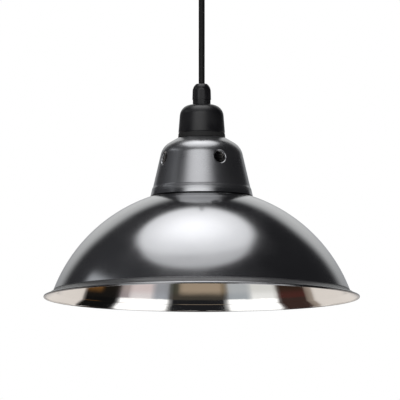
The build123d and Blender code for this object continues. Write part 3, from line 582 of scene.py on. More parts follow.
def make_neck():
    """The neck's sheet as one closed mesh, with four vent holes whose rims are rolled inwards."""
    outline = [
        (NECK_HOLE_R, NECK_SEAT_H),
        (NECK_TOP_R, NECK_SEAT_H, NECK_EDGE_ROUND),
        (corner_r, corner_h, NECK_SHOULDER_R),
        (neck_wall(JOGGLE_TOP_H, 0.0), JOGGLE_TOP_H, JOGGLE_ROUND),
        (neck_wall(JOGGLE_FOOT_H, -JOGGLE), JOGGLE_FOOT_H, JOGGLE_ROUND),
        (neck_wall(NECK_FOOT_H, -JOGGLE), NECK_FOOT_H),
    ]
    wall = Wall(rounded(raised(outline), NECK_STEPS))
    vent_at = wall.distance_to(rise(VENT_H))
    vent_r = neck_wall(VENT_H, 0.0)
    cell = TURN * vent_r / AROUND
    above = round(vent_at / cell)
    below = round((wall.length - vent_at) / cell)
    distances = [EDGE_EASE + (vent_at - EDGE_EASE) * row / above for row in range(above)]
    foot = wall.length - vent_at - EDGE_EASE
    distances += [vent_at + foot * row / below for row in range(below + 1)]
    ends = (EDGE_EASE, SHEET - EDGE_EASE)
    rows = [(at, 0.0) for at in distances] + [(wall.length, depth) for depth in ends]
    rows += [(at, SHEET) for at in reversed(distances)] + [(0.0, depth) for depth in ends[::-1]]
    vent_rows = (above, len(distances) + len(ends) + len(distances) - 1 - above)
    start = radians(VENT_START)
    per_vent = AROUND // VENT_COUNT
    tilt = radians(NECK_LEAN)
    hole_r = VENT_R + VENT_ROLL_R + VENT_EASE

    def on_wall(centre, radius, angle, depth):
        """Place at a distance and an angle from a vent's centre, along the curved sheet."""
        x, y = polar(radius, angle)
        far = wall.spot(0.0, vent_at - y, 0.0).x
        return centre + x / far, vent_at - y, depth

    def on_rim(centre, radius, angle, depth):
        """Place on a vent's rolled rim, which turns from the curved sheet into a flat ring."""
        out = Vector((*polar(cos(tilt), degrees(centre)), sin(tilt)))
        side = Vector((-sin(centre), cos(centre), 0.0))
        up = out.cross(side)
        x, y = polar(radius, angle)
        flat = wall.spot(centre, vent_at, 0.0) + side * x + up * y
        curved = wall.spot(*on_wall(centre, radius, angle, 0.0))
        share = smooth_step((VENT_R + VENT_ROLL_R - radius) / VENT_ROLL_R)
        return curved.lerp(flat, share) - out * depth

    vertices, grid = [], []
    for index, (distance, depth) in enumerate(rows):
        line = []
        vent_row = vent_rows[0] if index < len(distances) else vent_rows[1]
        upward = 1 if index < len(distances) else -1
        for step in range(AROUND):
            turn = start + TURN * step / AROUND
            x = (step + per_vent // 2) % per_vent - per_vent // 2
            y = (vent_row - index) * upward
            reach = max(abs(x), abs(y))
            if reach < VENT_CELLS:
                line.append(None)
                continue
            place = (turn, distance, depth)
            if reach < PATCH_CELLS:
                centre = turn - TURN * x / AROUND
                round_r = hole_r + (reach - VENT_CELLS) * cell
                ring = on_wall(centre, round_r, square_angle(x, y), depth)
                share = smooth_step((reach - VENT_CELLS) / (PATCH_CELLS - VENT_CELLS))
                place = [a + (b - a) * share for a, b in zip(ring, place)]
            line.append(len(vertices))
            vertices.append(wall.spot(*place))
        grid.append(line)
    faces = []
    for line, following in zip(grid, grid[1:] + grid[:1]):
        for step in range(AROUND):
            after = (step + 1) % AROUND
            face = (line[step], following[step], following[after], line[after])
            if None not in face:
                faces.append(face)

    roll = (VENT_R + VENT_ROLL_R, -VENT_ROLL_R)
    roll_out = arc(roll, VENT_ROLL_R, 90, 180, ROLL_STEPS)
    roll_in = arc(roll, VENT_ROLL_R - SHEET, 180, 90, NOSE_STEPS)
    nose = arc((VENT_R + SHEET / 2, -VENT_DEPTH), SHEET / 2, 180, 360, NOSE_STEPS)
    rim = roll_out + nose[1:-1] + roll_in
    corners = 8 * VENT_CELLS
    for vent in range(VENT_COUNT):
        centre = start + TURN * vent / VENT_COUNT
        column = vent * per_vent
        loops = []
        for vent_row, upward in zip(vent_rows, (1, -1)):
            loop = []
            for corner in range(corners):
                side, along = divmod(corner, 2 * VENT_CELLS)
                along -= VENT_CELLS
                x, y = (
                    (VENT_CELLS, along),
                    (-along, VENT_CELLS),
                    (-VENT_CELLS, -along),
                    (along, -VENT_CELLS),
                )[side]
                loop.append(grid[vent_row - y * upward][(column + x) % AROUND])
            loops.append(loop)
        rings = [loops[0]]
        for radius, height in rim:
            rings.append(range(len(vertices), len(vertices) + corners))
            for corner in range(corners):
                angle = 360 * corner / corners - 45
                vertices.append(on_rim(centre, radius, angle, -height))
        rings.append(loops[1])
        for ring, following in zip(rings, rings[1:]):
            for corner in range(corners):
                after = (corner + 1) % corners
                faces.append((ring[corner], ring[after], following[after], following[corner]))
    return mesh_object("neck_shell", vertices, faces)


neck_shell = make_neck()


# ---------------- lampholder
def turned(name, corners, steps=CORNER_STEPS, **how):
    """A piece turned from corners whose heights count up from the shade's lower edge."""
    return revolve(name, rounded(raised(corners), steps), **how)


def cap_side(height, inset):
    """Radius of the cap's tapering side at a height above the shade's lower edge."""
    taper = radians(CAP_TAPER)
    return CAP_BASE_R - (height - NECK_SEAT_H) * tan(taper) - inset / cos(taper)


def helix(pitch, low, high, swing):
    """Right-hand thread ridges: a radius that waves along a helix and fades out at both ends."""

    def shape(radius, height, turn):
        inside = smooth_step(min(height - low, high - height) / pitch)
        return radius + swing * inside * cos(TURN * height / pitch - turn), height

    return shape


def only(shape, side_r):
    """The same shape, for the part of an outline at one radius."""
    return lambda r, h, turn: shape(r, h, turn) if abs(r - side_r) < FIT_GAP else (r, h)


def upright(radius, low, high, step):
    """Evenly spaced points up a straight side, for threads to wave."""
    count = max(2, round(abs(high - low) / step))
    return [(radius, low + (high - low) * index / count) for index in range(count + 1)]


boss_h = NECK_SEAT_H + CAP_BOSS_H
ceiling_h = CAP_TOP_H - CAP_WALL
groove_h = NECK_SEAT_H + CAP_GROOVE_H
groove_r = cap_side(groove_h, 0.0)
cap_corners = [
    (SKIRT_R + FIT_GAP, NECK_SEAT_H),
    (CAP_BASE_R, NECK_SEAT_H, EDGE_ROUND),
    (groove_r, groove_h - GROOVE_HALF, EDGE_ROUND),
    (groove_r - GROOVE_DEPTH, groove_h - GROOVE_FLOOR),
    (groove_r - GROOVE_DEPTH, groove_h + GROOVE_FLOOR),
    (groove_r, groove_h + GROOVE_HALF, EDGE_ROUND),
    (cap_side(CAP_TOP_H, 0.0), CAP_TOP_H, CAP_SHOULDER_R),
    (GRIP_THREAD_R + FIT_GAP, CAP_TOP_H),
    (GRIP_THREAD_R + FIT_GAP, ceiling_h),
    (cap_side(ceiling_h, CAP_WALL), ceiling_h, CAP_SHOULDER_R - CAP_WALL),
    (cap_side(boss_h, CAP_WALL), boss_h),
    (SKIRT_R + FIT_GAP, boss_h),
]
cap_shell = turned("cap_shell", cap_corners, CAP_STEPS)

skirt_in = SKIRT_R - SKIRT_WALL
skirt_web_r = SHELL_OUTER_R + 2 * FIT_GAP
thread_top_h = NECK_SEAT_H - SHEET
thread_side = SKIRT_R - RING_THREAD
skirt_outline = [
    (skirt_web_r, SKIRT_FOOT_H),
    (SKIRT_R - EDGE_ROUND, SKIRT_FOOT_H),
    *upright(thread_side, SKIRT_FOOT_H + EDGE_ROUND, thread_top_h, RING_THREAD_STEP),
    (SKIRT_R, thread_top_h + EDGE_ROUND),
    (SKIRT_R, boss_h),
    (skirt_in, boss_h),
    (skirt_in, INSERT_FOOT_H),
    (skirt_web_r, INSERT_FOOT_H),
]
ring_thread = helix(RING_PITCH, rise(SKIRT_FOOT_H), rise(thread_top_h), RING_THREAD)
skirt_shell = revolve("skirt_shell", raised(skirt_outline), shape=only(ring_thread, thread_side))

lid_h = SHELL_TOP_H - SHELL_LID_T
shell_outline = [
    *upright(SHELL_MIDDLE_R, lid_h, SHELL_FOOT_H, E27_STEP),
    (SHELL_OUTER_R, SHELL_FOOT_H),
    (SHELL_OUTER_R, SHELL_TOP_H),
    (SHELL_LID_BORE_R, SHELL_TOP_H),
    (SHELL_LID_BORE_R, lid_h),
]
lamp_thread = helix(E27_PITCH, rise(SHELL_FOOT_H), rise(lid_h), SHELL_SWING)
lamp_shell = revolve("lamp_shell", raised(shell_outline), shape=only(lamp_thread, SHELL_MIDDLE_R))

# The shade ring's flange lies under the neck's sloping shoulder, scalloped for the fingers.
ring_top_h = NECK_SEAT_H - SHEET - RING_GAP - WASHER_T - RING_GAP
sheet_knee = NECK_TOP_R - SHEET * tan(radians(NECK_SLOPE / 2))
ring_knee = sheet_knee - (WASHER_T + 2 * RING_GAP) * tan(radians(NECK_SLOPE / 2))
ring_edge_h = ring_top_h - (RING_R - ring_knee) * slope
ring_hub_r = SKIRT_R + FIT_GAP + RING_HUB_WALL


def scallop(radius, height, turn):
    """Pulls the ring's flange in round each finger grip."""
    off = (turn / TURN * RING_GRIPS + 0.5) % 1 - 0.5
    middle = RING_R + RING_GRIP_INSET
    across = middle * sin(off * TURN / RING_GRIPS)
    if abs(across) >= RING_GRIP_R or radius < ring_hub_r + EDGE_ROUND:
        return radius, height
    edge = middle * cos(off * TURN / RING_GRIPS) - sqrt(RING_GRIP_R**2 - across**2)
    return min(radius, edge - (RING_R - radius) / 2), height


ring_corners = [
    (SKIRT_R + FIT_GAP, ring_top_h),
    (ring_knee, ring_top_h, EDGE_ROUND),
    (RING_R, ring_edge_h, EDGE_ROUND),
    (RING_R, ring_edge_h - RING_T, EDGE_ROUND),
    (ring_hub_r, ring_edge_h - RING_T, EDGE_ROUND),
    (ring_hub_r, ring_top_h - RING_HUB_H, EDGE_ROUND),
    (SKIRT_R + FIT_GAP, ring_top_h - RING_HUB_H),
]
ring_piece = turned("ring_grip", ring_corners, RING_STEPS, around=RING_AROUND, shape=scallop)


# ---------------- cord grips
def hexagonal(flat):
    """Cuts a turned outline to a hexagon across its flats, with slightly soft corners."""

    def shape(radius, height, turn):
        sector = TURN / HEX_SIDES
        limit = flat / cos(turn % sector - sector / 2)
        gap = max(GRIP_SOFT - abs(radius - limit), 0.0)
        return min(radius, limit) - gap * gap / (4 * GRIP_SOFT), height

    return shape


def make_grip(prefix, face, way):
    """Threaded body and dome nut of a cord grip that stands on a face, pointing up or down."""

    def stand(outline):
        return [(radius, face + way * height) for radius, height in outline]

    low, high = sorted((face, face - way * GRIP_THREAD_L))
    corners = [
        (GRIP_THREAD_R, 0.0),
        (GRIP_COLLAR_R, 0.0, EDGE_ROUND),
        (GRIP_COLLAR_R, GRIP_COLLAR_H, EDGE_ROUND),
        (GRIP_NECK_R, GRIP_COLLAR_H),
        (GRIP_NECK_R, GRIP_NECK_H, EDGE_ROUND),
        (GRIP_SEAL_R + FIT_GAP, GRIP_NECK_H),
        (GRIP_SEAL_R + FIT_GAP, GRIP_SEAL_BASE),
        (GRIP_BORE_R, GRIP_SEAL_BASE),
        (GRIP_BORE_R, -GRIP_THREAD_L),
    ]
    side = upright(GRIP_THREAD_R - 2 * FIT_GAP, -GRIP_THREAD_L, 0.0, GRIP_THREAD_STEP)
    body = stand(side + rounded(corners, GRIP_BODY_STEPS))
    thread = helix(GRIP_PITCH, low, high, -2 * FIT_GAP)
    hexagon = hexagonal(GRIP_COLLAR_FLAT)

    def body_shape(radius, height, turn):
        if low < height < high and radius > GRIP_BORE_R + FIT_GAP:
            return thread(radius, height, turn)
        return hexagon(radius, height, turn)

    nut_base = GRIP_COLLAR_H + RING_GAP
    shoulder = through(
        (GRIP_NUT_SHOULDER_R, GRIP_NUT_SHOULDER),
        (
            (GRIP_NUT_R + GRIP_NUT_TOP_R) / 2 + GRIP_NUT_BULGE,
            (GRIP_NUT_SHOULDER + GRIP_H) / 2 + GRIP_NUT_BULGE,
        ),
        (GRIP_NUT_TOP_R, GRIP_H),
        SHOULDER_STEPS,
    )
    corners = [
        (GRIP_NUT_TOP_R, GRIP_H),
        (GRIP_BELL_R, GRIP_H, EDGE_ROUND),
        (GRIP_MOUTH_R, GRIP_H - GRIP_BELL_T, EDGE_ROUND),
        (GRIP_MOUTH_R, GRIP_H - GRIP_NUT_WALL),
        (GRIP_NUT_SEAT_R, GRIP_H - GRIP_NUT_WALL - GRIP_NUT_SEAT_T),
        (GRIP_NECK_R + FIT_GAP, GRIP_NECK_H + GRIP_NUT_STEP),
        (GRIP_NECK_R + FIT_GAP, nut_base),
    ]
    nut = stand([(GRIP_NUT_R, nut_base)] + shoulder + rounded(corners, GRIP_NUT_STEPS)[1:])
    return (
        revolve(prefix + "_barrel", body, GRIP_AROUND, body_shape),
        revolve(prefix + "_dome_nut", nut, GRIP_AROUND, hexagonal(GRIP_NUT_FLAT)),
    )


lower_barrel, lower_nut = make_grip("lower_grip", rise(CAP_TOP_H), 1)
upper_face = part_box("canopy")[0].z / MM
upper_barrel, upper_nut = make_grip("upper_grip", upper_face, -1)


# ---------------- bulb
contact_h = BULB_TIP_H - BULB_CONTACT_T
bulb_top_h = contact_h - BULB_INSULATOR_T
solder = turned(
    "bulb_solder_tip",
    [
        (0.0, contact_h),
        (BULB_CONTACT_R, contact_h),
        (BULB_CONTACT_R, BULB_TIP_H, BULB_CONTACT_ROUND),
        (0.0, BULB_TIP_H),
    ],
    around=BULB_AROUND,
)
insulator = turned(
    "bulb_glass_insulator",
    [
        (0.0, bulb_top_h),
        (BULB_INSULATOR_R, bulb_top_h),
        (BULB_INSULATOR_R, bulb_top_h + EDGE_ROUND),
        (BULB_CONTACT_R + EDGE_ROUND, contact_h, EDGE_ROUND),
        (0.0, contact_h),
    ],
    around=BULB_AROUND,
)
bulb_foot_h = bulb_top_h - BULB_CAP_LAND - BULB_CAP_TURNS * E27_PITCH
thread_ends = (rise(bulb_foot_h), rise(bulb_top_h - EDGE_ROUND))
cap_inside = BULB_CAP_MIDDLE_R - BULB_CAP_SWING - BULB_CAP_WALL
screw_cap = revolve(
    "bulb_screw_cap",
    [(BULB_SKIRT_R, rise(bulb_foot_h - EDGE_ROUND))]
    + upright(BULB_CAP_MIDDLE_R, *thread_ends, E27_STEP)
    + raised(
        [
            (BULB_CAP_MIDDLE_R - EDGE_ROUND, bulb_top_h),
            (BULB_CAP_HOLE_R, bulb_top_h),
            (BULB_CAP_HOLE_R, bulb_top_h - BULB_CAP_WALL),
            (cap_inside, bulb_top_h - BULB_CAP_WALL),
            (cap_inside, GLASS_TOP_H + FIT_GAP),
            (BULB_SKIRT_R - BULB_CAP_WALL, GLASS_TOP_H + FIT_GAP),
            (BULB_SKIRT_R - BULB_CAP_WALL, BULB_SKIRT_H),
            (BULB_SKIRT_R, BULB_SKIRT_H),
        ]
    ),
    shape=only(helix(E27_PITCH, *thread_ends, BULB_CAP_SWING), BULB_CAP_MIDDLE_R),
)


def glass_run(inset):
    """The bulb's glass from its lowest point to its open top, inset mm inside its outer face."""
    centre = (0.0, rise(GLASS_CENTRE_H))
    globe = arc(centre, GLASS_R - inset, -90, GLASS_TANGENT, GLOBE_STEPS)
    neck_r = GLASS_NECK_R - inset
    climb = (globe[-1][0] - neck_r) / tan(radians(GLASS_TANGENT))
    throat = rounded(
        [
            globe[-1],
            (neck_r, globe[-1][1] + climb, GLASS_FILLET_R + inset),
            (neck_r, rise(GLASS_TOP_H)),
        ],
        THROAT_STEPS,
    )
    globe[0] = (0.0, globe[0][1])
    return globe + throat[1:]


glass = revolve("bulb_envelope", glass_run(0.0) + glass_run(GLASS_WALL)[::-1])
rod_foot_h = GLASS_CENTRE_H - FILAMENT_LENGTH / 2 - STEM_TIP
stem = turned(
    "bulb_glass_stem",
    [
        (0.0, rod_foot_h),
        (FILAMENT_R, rod_foot_h, EDGE_ROUND),
        (FILAMENT_R, STEM_FOOT_H, EDGE_ROUND),
        (STEM_R, STEM_FOOT_H, EDGE_ROUND),
        (STEM_R, STEM_NECK_H, STEM_R),
        (STEM_FLARE_R, STEM_FLARE_H, 2 * STEM_FLARE_R),
        (GLASS_NECK_R - GLASS_WALL - STEM_TIP, GLASS_TOP_H),
        (0.0, GLASS_TOP_H),
    ],
    STEM_STEPS,
    around=BULB_AROUND,
)
filament_foot = rise(GLASS_CENTRE_H - FILAMENT_LENGTH / 2)
filament_top = filament_foot + FILAMENT_LENGTH
filament_spots = [
    polar(FILAMENT_RING_R, 360 * index / FILAMENT_COUNT) for index in range(FILAMENT_COUNT)
]


def lumps(radius, height, turn):
    """The uneven coat of phosphor gel along a filament."""
    short, long = GEL_WAVES
    wave = sin(height * short + sin(2 * turn)) + sin(height * long + turn)
    return radius * (1 + GEL_LUMP * wave), height


gel_foot, gel_top = filament_foot + FILAMENT_TAB, filament_top - FILAMENT_TAB
filaments = revolve(
    "filament_strips",
    rounded(
        [
            (0.0, gel_foot),
            (GEL_R, gel_foot, EDGE_ROUND),
            *upright(GEL_R, filament_foot + GEL_END, filament_top - GEL_END, GEL_STEP),
            (GEL_R, gel_top, EDGE_ROUND),
            (0.0, gel_top),
        ]
    ),
    around=GEL_AROUND,
    shape=lumps,
    centres=filament_spots,
)
tab_r = FILAMENT_R / 2
tab_ends = ((filament_foot, gel_foot + EDGE_ROUND), (gel_top - EDGE_ROUND, filament_top))
filament_tabs = [
    revolve(
        f"filament_tabs_{index + 1}",
        [(0.0, low), (tab_r, low), (tab_r, high), (0.0, high)],
        around=TAB_AROUND,
        centres=filament_spots,
    )
    for index, (low, high) in enumerate(tab_ends)
]


# ---------------- materials
class Nodes:
    """A node tree, with the few kinds of node that the finishes and the studio share."""

    # The numbers of a Mix node's two colours, and of its mixed colour.
    FIRST, SECOND, MIXED = 6, 7, 2

    def __init__(self, tree):
        self.tree = tree

    def node(self, kind, inputs, **settings):
        made = self.tree.nodes.new("ShaderNode" + kind)
        for setting, value in settings.items():
            setattr(made, setting, value)
        for socket, value in inputs.items():
            if isinstance(value, bpy.types.NodeSocket):
                self.tree.links.new(value, made.inputs[socket])
            else:
                made.inputs[socket].default_value = value
        return made

    def between(self, factor, low, high, start=0.3, end=0.7):
        """Low to high as the factor goes from start to end, which suit a noise's usual reach."""
        ends = {"From Min": start, "From Max": end, "To Min": low, "To Max": high}
        made = self.node("MapRange", {"Value": factor, **ends}, interpolation_type="SMOOTHSTEP")
        return made.outputs["Result"]

    def math(self, operation, first, second=0.0):
        return self.node("Math", {0: first, 1: second}, operation=operation).outputs[0]

    def mix(self, factor, first, second):
        inputs = {"Factor": factor, self.FIRST: rgb(first), self.SECOND: rgb(second)}
        return self.node("Mix", inputs, data_type="RGBA").outputs[self.MIXED]


finishes = {}


class Finish(Nodes):
    """A node material, kept under its name, whose detail follows the object's own coordinates."""

    def __init__(self, name, **sockets):
        self.material = finishes[name] = bpy.data.materials.new(name)
        self.material.use_nodes = True
        super().__init__(self.material.node_tree)
        self.shader = self.tree.nodes["Principled BSDF"]
        for socket, value in sockets.items():
            self.shader.inputs[socket.replace("_", " ")].default_value = value
        self.place = self.tree.nodes.new("ShaderNodeTexCoord").outputs["Object"]
        self.surface = None

    def stretched(self, way):
        """Object coordinates scaled by way, so that a pattern runs along its small number."""
        return self.node("VectorMath", {0: self.place, 1: way}, operation="MULTIPLY").outputs[0]

    def round_axis(self):
        """Distance from the lamp's axis, and height, so that a pattern makes rings round it."""
        flat = self.stretched((1.0, 1.0, 0.0))
        radius = self.node("VectorMath", {0: flat}, operation="LENGTH").outputs["Value"]
        height = self.node("SeparateXYZ", {0: self.place}).outputs["Z"]
        return self.node("CombineXYZ", {"X": radius, "Z": height}).outputs[0]

    def noise(self, size, detail=3.0, vector=None, roughness=0.5):
        """Noise with features of about size millimetres."""
        inputs = {"Vector": vector or self.place, "Scale": 1 / (size * MM), "Detail": detail}
        return self.node("TexNoise", {**inputs, "Roughness": roughness}).outputs["Fac"]

    def plus(self, first, second):
        return self.math("ADD", first, second)

    def colour(self, socket):
        self.tree.links.new(socket, self.shader.inputs["Base Color"])

    def rough(self, socket):
        self.tree.links.new(socket, self.shader.inputs["Roughness"])

    def bump(self, height, depth, strength=1.0):
        """Adds relief depth millimetres high to what the surface has so far."""
        inputs = {"Height": height, "Distance": depth * MM, "Strength": strength}
        if self.surface:
            inputs["Normal"] = self.surface
        self.surface = self.node("Bump", inputs).outputs["Normal"]
        self.tree.links.new(self.surface, self.shader.inputs["Normal"])

    def cover(self, broad, tones, gloss, depth, fine, ripple, grain):
        """Tone, gloss and relief from a broad pattern, then a finer pattern over them."""
        self.colour(self.mix(self.between(broad, 0.0, 1.0), *tones))
        self.rough(self.plus(self.between(broad, *gloss), self.between(fine, *ripple)))
        self.bump(fine, grain)
        self.bump(broad, depth)


def rgb(colour):
    return colour if isinstance(colour, bpy.types.NodeSocket) else (*colour, 1.0)


def gunmetal():
    """Dark pearl plating on spun metal: faint spinning rings, orange peel, and hazier patches."""
    made = Finish("gunmetal_paint", Metallic=1.0, Coat_Weight=0.25, Coat_Roughness=0.12)
    rings = made.noise(0.9, 2.0, made.round_axis())
    haze = made.noise(28.0, 4.0)
    flake = made.noise(0.35, 2.0)
    tone = made.mix(haze, (0.165, 0.168, 0.176), (0.205, 0.207, 0.214))
    height = made.node("SeparateXYZ", {0: made.place}).outputs["Z"]
    # Painted shade: a band above the rim where the paint's tone darkens and its gloss dulls.
    edges = [rise(edge) * MM for edge in LIP_SHADOW]
    low_edge = made.between(height, 0.0, 1.0, *edges[:2])
    shaded = made.math("MULTIPLY", low_edge, made.between(height, 1.0, 0.0, *edges[2:]))
    tone = made.mix(shaded, tone, LIP_SHADE_TONE)
    made.colour(made.mix(made.between(flake, 0.0, 0.35), tone, (0.26, 0.262, 0.27)))
    base = made.plus(made.between(haze, 0.14, 0.18), made.between(rings, -0.006, 0.006))
    brushed = made.between(height, 0.0, NECK_MATT, *(rise(edge) * MM for edge in NECK_BRUSHED))
    base = made.plus(base, made.plus(brushed, made.math("MULTIPLY", shaded, LIP_MATT)))
    made.rough(made.plus(base, made.between(flake, -0.01, 0.015)))
    made.bump(rings, 0.0012)
    made.bump(made.noise(1.6, 2.0), 0.003)
    made.bump(flake, 0.001)


def chrome(name, tone, low, high):
    """Polished plating on spun metal: fine turning rings, wiping haze and small pits."""
    made = Finish(name, Metallic=1.0)
    rings = made.noise(0.7, 3.0, made.round_axis())
    haze = made.noise(22.0, 5.0)
    made.colour(made.mix(haze, [0.93 * part for part in tone], tone))
    made.rough(made.plus(made.between(haze, low, high), made.between(rings, -0.015, 0.02)))
    made.bump(rings, 0.003)
    made.bump(made.noise(9.0, 2.0), 0.02)


def moulded(name, dark, light, low, high, grain):
    """Moulded plastic: fine spark-eroded grain, and flow marks a little darker where they dip."""
    made = Finish(name, Specular_IOR_Level=0.28)
    flow = made.noise(14.0, 4.0)
    speck = made.noise(grain, 3.0)
    made.cover(flow, (dark, light), (low, high), 0.05, speck, (-0.04, 0.05), 0.012)


def sheathed(name, dark, light, low, high):
    """Extruded sheath: fine drawn lines along it and a slightly uneven surface."""
    made = Finish(name, Specular_IOR_Level=0.18)
    lines = made.noise(0.5, 2.0, made.stretched((1.0, 1.0, 0.02)))
    scuff = made.noise(5.0, 4.0)
    made.cover(scuff, (dark, light), (low, high), 0.05, lines, (-0.04, 0.04), 0.02)


def metal(name, dull, bright, low, high, size=6.0):
    """Stamped or plated hardware: cloudy plating, fine scratches and duller patches."""
    made = Finish(name, Metallic=1.0)
    cloud = made.noise(size, 5.0)
    scratch = made.noise(0.25, 2.0, made.stretched((1.0, 0.06, 1.0)))
    made.cover(cloud, (dull, bright), (high, low), 0.01, scratch, (-0.05, 0.06), 0.004)


def ceramic():
    """Glazed steatite: warm white with fine specks and a softly rippled glaze."""
    made = Finish("white_ceramic", Coat_Weight=0.6, Coat_Roughness=0.08)
    speck = made.noise(0.6, 2.0)
    clay = made.mix(made.noise(12.0, 3.0), (0.80, 0.77, 0.70), (0.87, 0.85, 0.80))
    made.colour(made.mix(made.between(speck, 0.0, 0.5, 0.66, 0.74), clay, (0.55, 0.50, 0.42)))
    made.rough(made.between(made.noise(7.0, 3.0), 0.22, 0.36))
    made.bump(made.noise(2.4, 2.0), 0.02)


def nylon():
    """Natural nylon: milky, with light going a little way in, and flow lines from moulding."""
    made = Finish("natural_nylon", Subsurface_Weight=0.25, Subsurface_Scale=0.002)
    flow = made.noise(5.0, 4.0, made.stretched((1.0, 0.4, 1.0)))
    made.colour(made.mix(flow, (0.72, 0.72, 0.66), (0.84, 0.84, 0.80)))
    made.rough(made.between(flow, 0.38, 0.52))
    made.bump(made.noise(0.5, 2.0), 0.01)


def clear_glass():
    """Blown glass: nearly clear, with slow waves and a trace of haze."""
    made = Finish("clear_glass", Transmission_Weight=1.0, IOR=1.48)
    wave = made.noise(16.0, 1.0)
    made.colour(made.mix(wave, (0.96, 0.98, 0.98), (0.99, 1.0, 1.0)))
    made.rough(made.between(made.noise(10.0, 4.0), 0.0, 0.025))
    made.bump(wave, 0.05)


def black_glass():
    """Fused black glass: poured, so it has a few bubbles and a soft surface."""
    made = Finish("black_glass", Coat_Weight=0.5, Coat_Roughness=0.05)
    bubble = made.noise(0.8, 1.0)
    made.colour(made.mix(made.noise(4.0, 2.0), (0.010, 0.010, 0.014), (0.022, 0.022, 0.030)))
    made.rough(made.between(bubble, 0.10, 0.22))
    made.bump(bubble, 0.05)


def phosphor():
    """Silicone and phosphor gel: grainy yellow, in darker and lighter patches."""
    made = Finish("phosphor", Subsurface_Weight=0.2, Subsurface_Scale=0.0006)
    grain = made.noise(0.12, 3.0)
    made.colour(made.mix(made.noise(1.6, 2.0), (0.86, 0.58, 0.10), (0.95, 0.76, 0.26)))
    made.rough(made.between(grain, 0.42, 0.62))
    made.bump(grain, 0.02)


gunmetal()
chrome("polished_chrome", (0.86, 0.85, 0.83), 0.03, 0.07)
moulded("black_plastic", (0.004, 0.004, 0.005), (0.008, 0.008, 0.009), 0.30, 0.40, 0.30)
moulded("black_nylon", (0.005, 0.005, 0.006), (0.010, 0.010, 0.011), 0.28, 0.38, 0.22)
moulded("black_fibre", (0.014, 0.014, 0.014), (0.032, 0.031, 0.030), 0.60, 0.78, 0.15)
moulded("seal_rubber", (0.012, 0.012, 0.012), (0.026, 0.026, 0.026), 0.55, 0.72, 0.40)
sheathed("flex_sheath", (0.002, 0.002, 0.002), (0.005, 0.005, 0.005), 0.45, 0.60)
metal("zinc_steel", (0.46, 0.46, 0.45), (0.68, 0.68, 0.66), 0.24, 0.42)
metal("brass", (0.62, 0.44, 0.16), (0.85, 0.66, 0.30), 0.16, 0.34)
ceramic()
nylon()
clear_glass()
black_glass()
metal("nickel_wire", (0.58, 0.57, 0.54), (0.74, 0.73, 0.70), 0.18, 0.34, 2.0)
phosphor()
sheathed("brown_core", (0.16, 0.06, 0.025), (0.26, 0.11, 0.05), 0.25, 0.40)
sheathed("blue_core", (0.02, 0.11, 0.40), (0.04, 0.19, 0.56), 0.25, 0.40)
moulded("matt_band", (0.008, 0.008, 0.008), (0.013, 0.013, 0.013), 0.62, 0.75, 0.30)


# ---------------- dressing the frame
def dress(piece, slot_name, body=None, *stands_for):
    """Gives a piece its finish and the body it rides on, and hides the CAD nodes it stands for."""
    piece.data.materials.append(finishes[slot_name])
    if body:
        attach(piece, body)
    if stands_for:
        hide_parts(*stands_for)


dress(flex_cord, "flex_sheath")
dress(paint_skin, "gunmetal_paint", "pendant", "dome_shade")
dress(bright_skin, "polished_chrome", "pendant", "dome_shade")
dress(neck_shell, "gunmetal_paint", "pendant", "neck")
dress(cap_shell, "black_plastic", "pendant", "lampholder_cap")
dress(skirt_shell, "black_plastic", "pendant", "lampholder_skirt")
dress(lamp_shell, "brass", "pendant", "threaded_shell")
dress(ring_piece, "black_plastic", "ring", "shade_ring")
dress(lower_barrel, "black_nylon", "pendant", "lower_grip_body")
dress(lower_nut, "black_nylon", "pendant", "lower_grip_nut")
dress(upper_barrel, "black_nylon", "ceiling_fitting", "upper_grip_body")
dress(upper_nut, "black_nylon", "ceiling_fitting", "upper_grip_nut")
dress(solder, "brass", "bulb", "bulb_contact")
dress(insulator, "black_glass", "bulb", "bulb_insulator")
dress(screw_cap, "polished_chrome", "bulb", "bulb_cap")
dress(glass, "clear_glass", "bulb", "bulb_glass")
dress(stem, "clear_glass", "bulb", "bulb_stem")
dress(filaments, "phosphor", "bulb", "bulb_filaments")
for tabs in filament_tabs:
    dress(tabs, "nickel_wire", "bulb")

# The cap is left matt below its groove.
cap_shell.data.materials.append(finishes["matt_band"])
band_top = rise(groove_h - GROOVE_FLOOR) * MM
for face in cap_shell.data.polygons:
    if face.center.z < band_top:
        face.material_index = 1

# A real flex is far longer than the stretch modelled here, so the bright paint doesn't mirror the
# ceiling fitting.
ceiling_nodes = frame["record"]["behaviour"]["bodies"]["ceiling_fitting"]
for piece in (upper_barrel, upper_nut):
    piece.visible_glossy = False

for part in frame["record"]["subparts"]:
    node = frame["nodes"][part["node"]]
    if not node.hide_render:
        node.data.materials.clear()
        node.data.materials.append(finishes[part["material_slot"]])
    if part["node"] in ceiling_nodes:
        node.visible_glossy = False


# ---------------- stage
def make_floor():
    mesh = bpy.data.meshes.new("floor")
    ring = [polar(FLOOR_R, 360 * side / FLOOR_SIDES) for side in range(FLOOR_SIDES)]
    mesh.from_pydata([(x, y, -FLOOR_DROP) for x, y in ring], [], [range(FLOOR_SIDES)])
    floor = into_scene("floor", mesh)
    made = Finish("floor_paper", Roughness=0.85)
    made.colour(made.mix(made.noise(30.0, 3.0), *FLOOR_TONES))
    mesh.materials.append(made.material)
    floor.visible_glossy = False


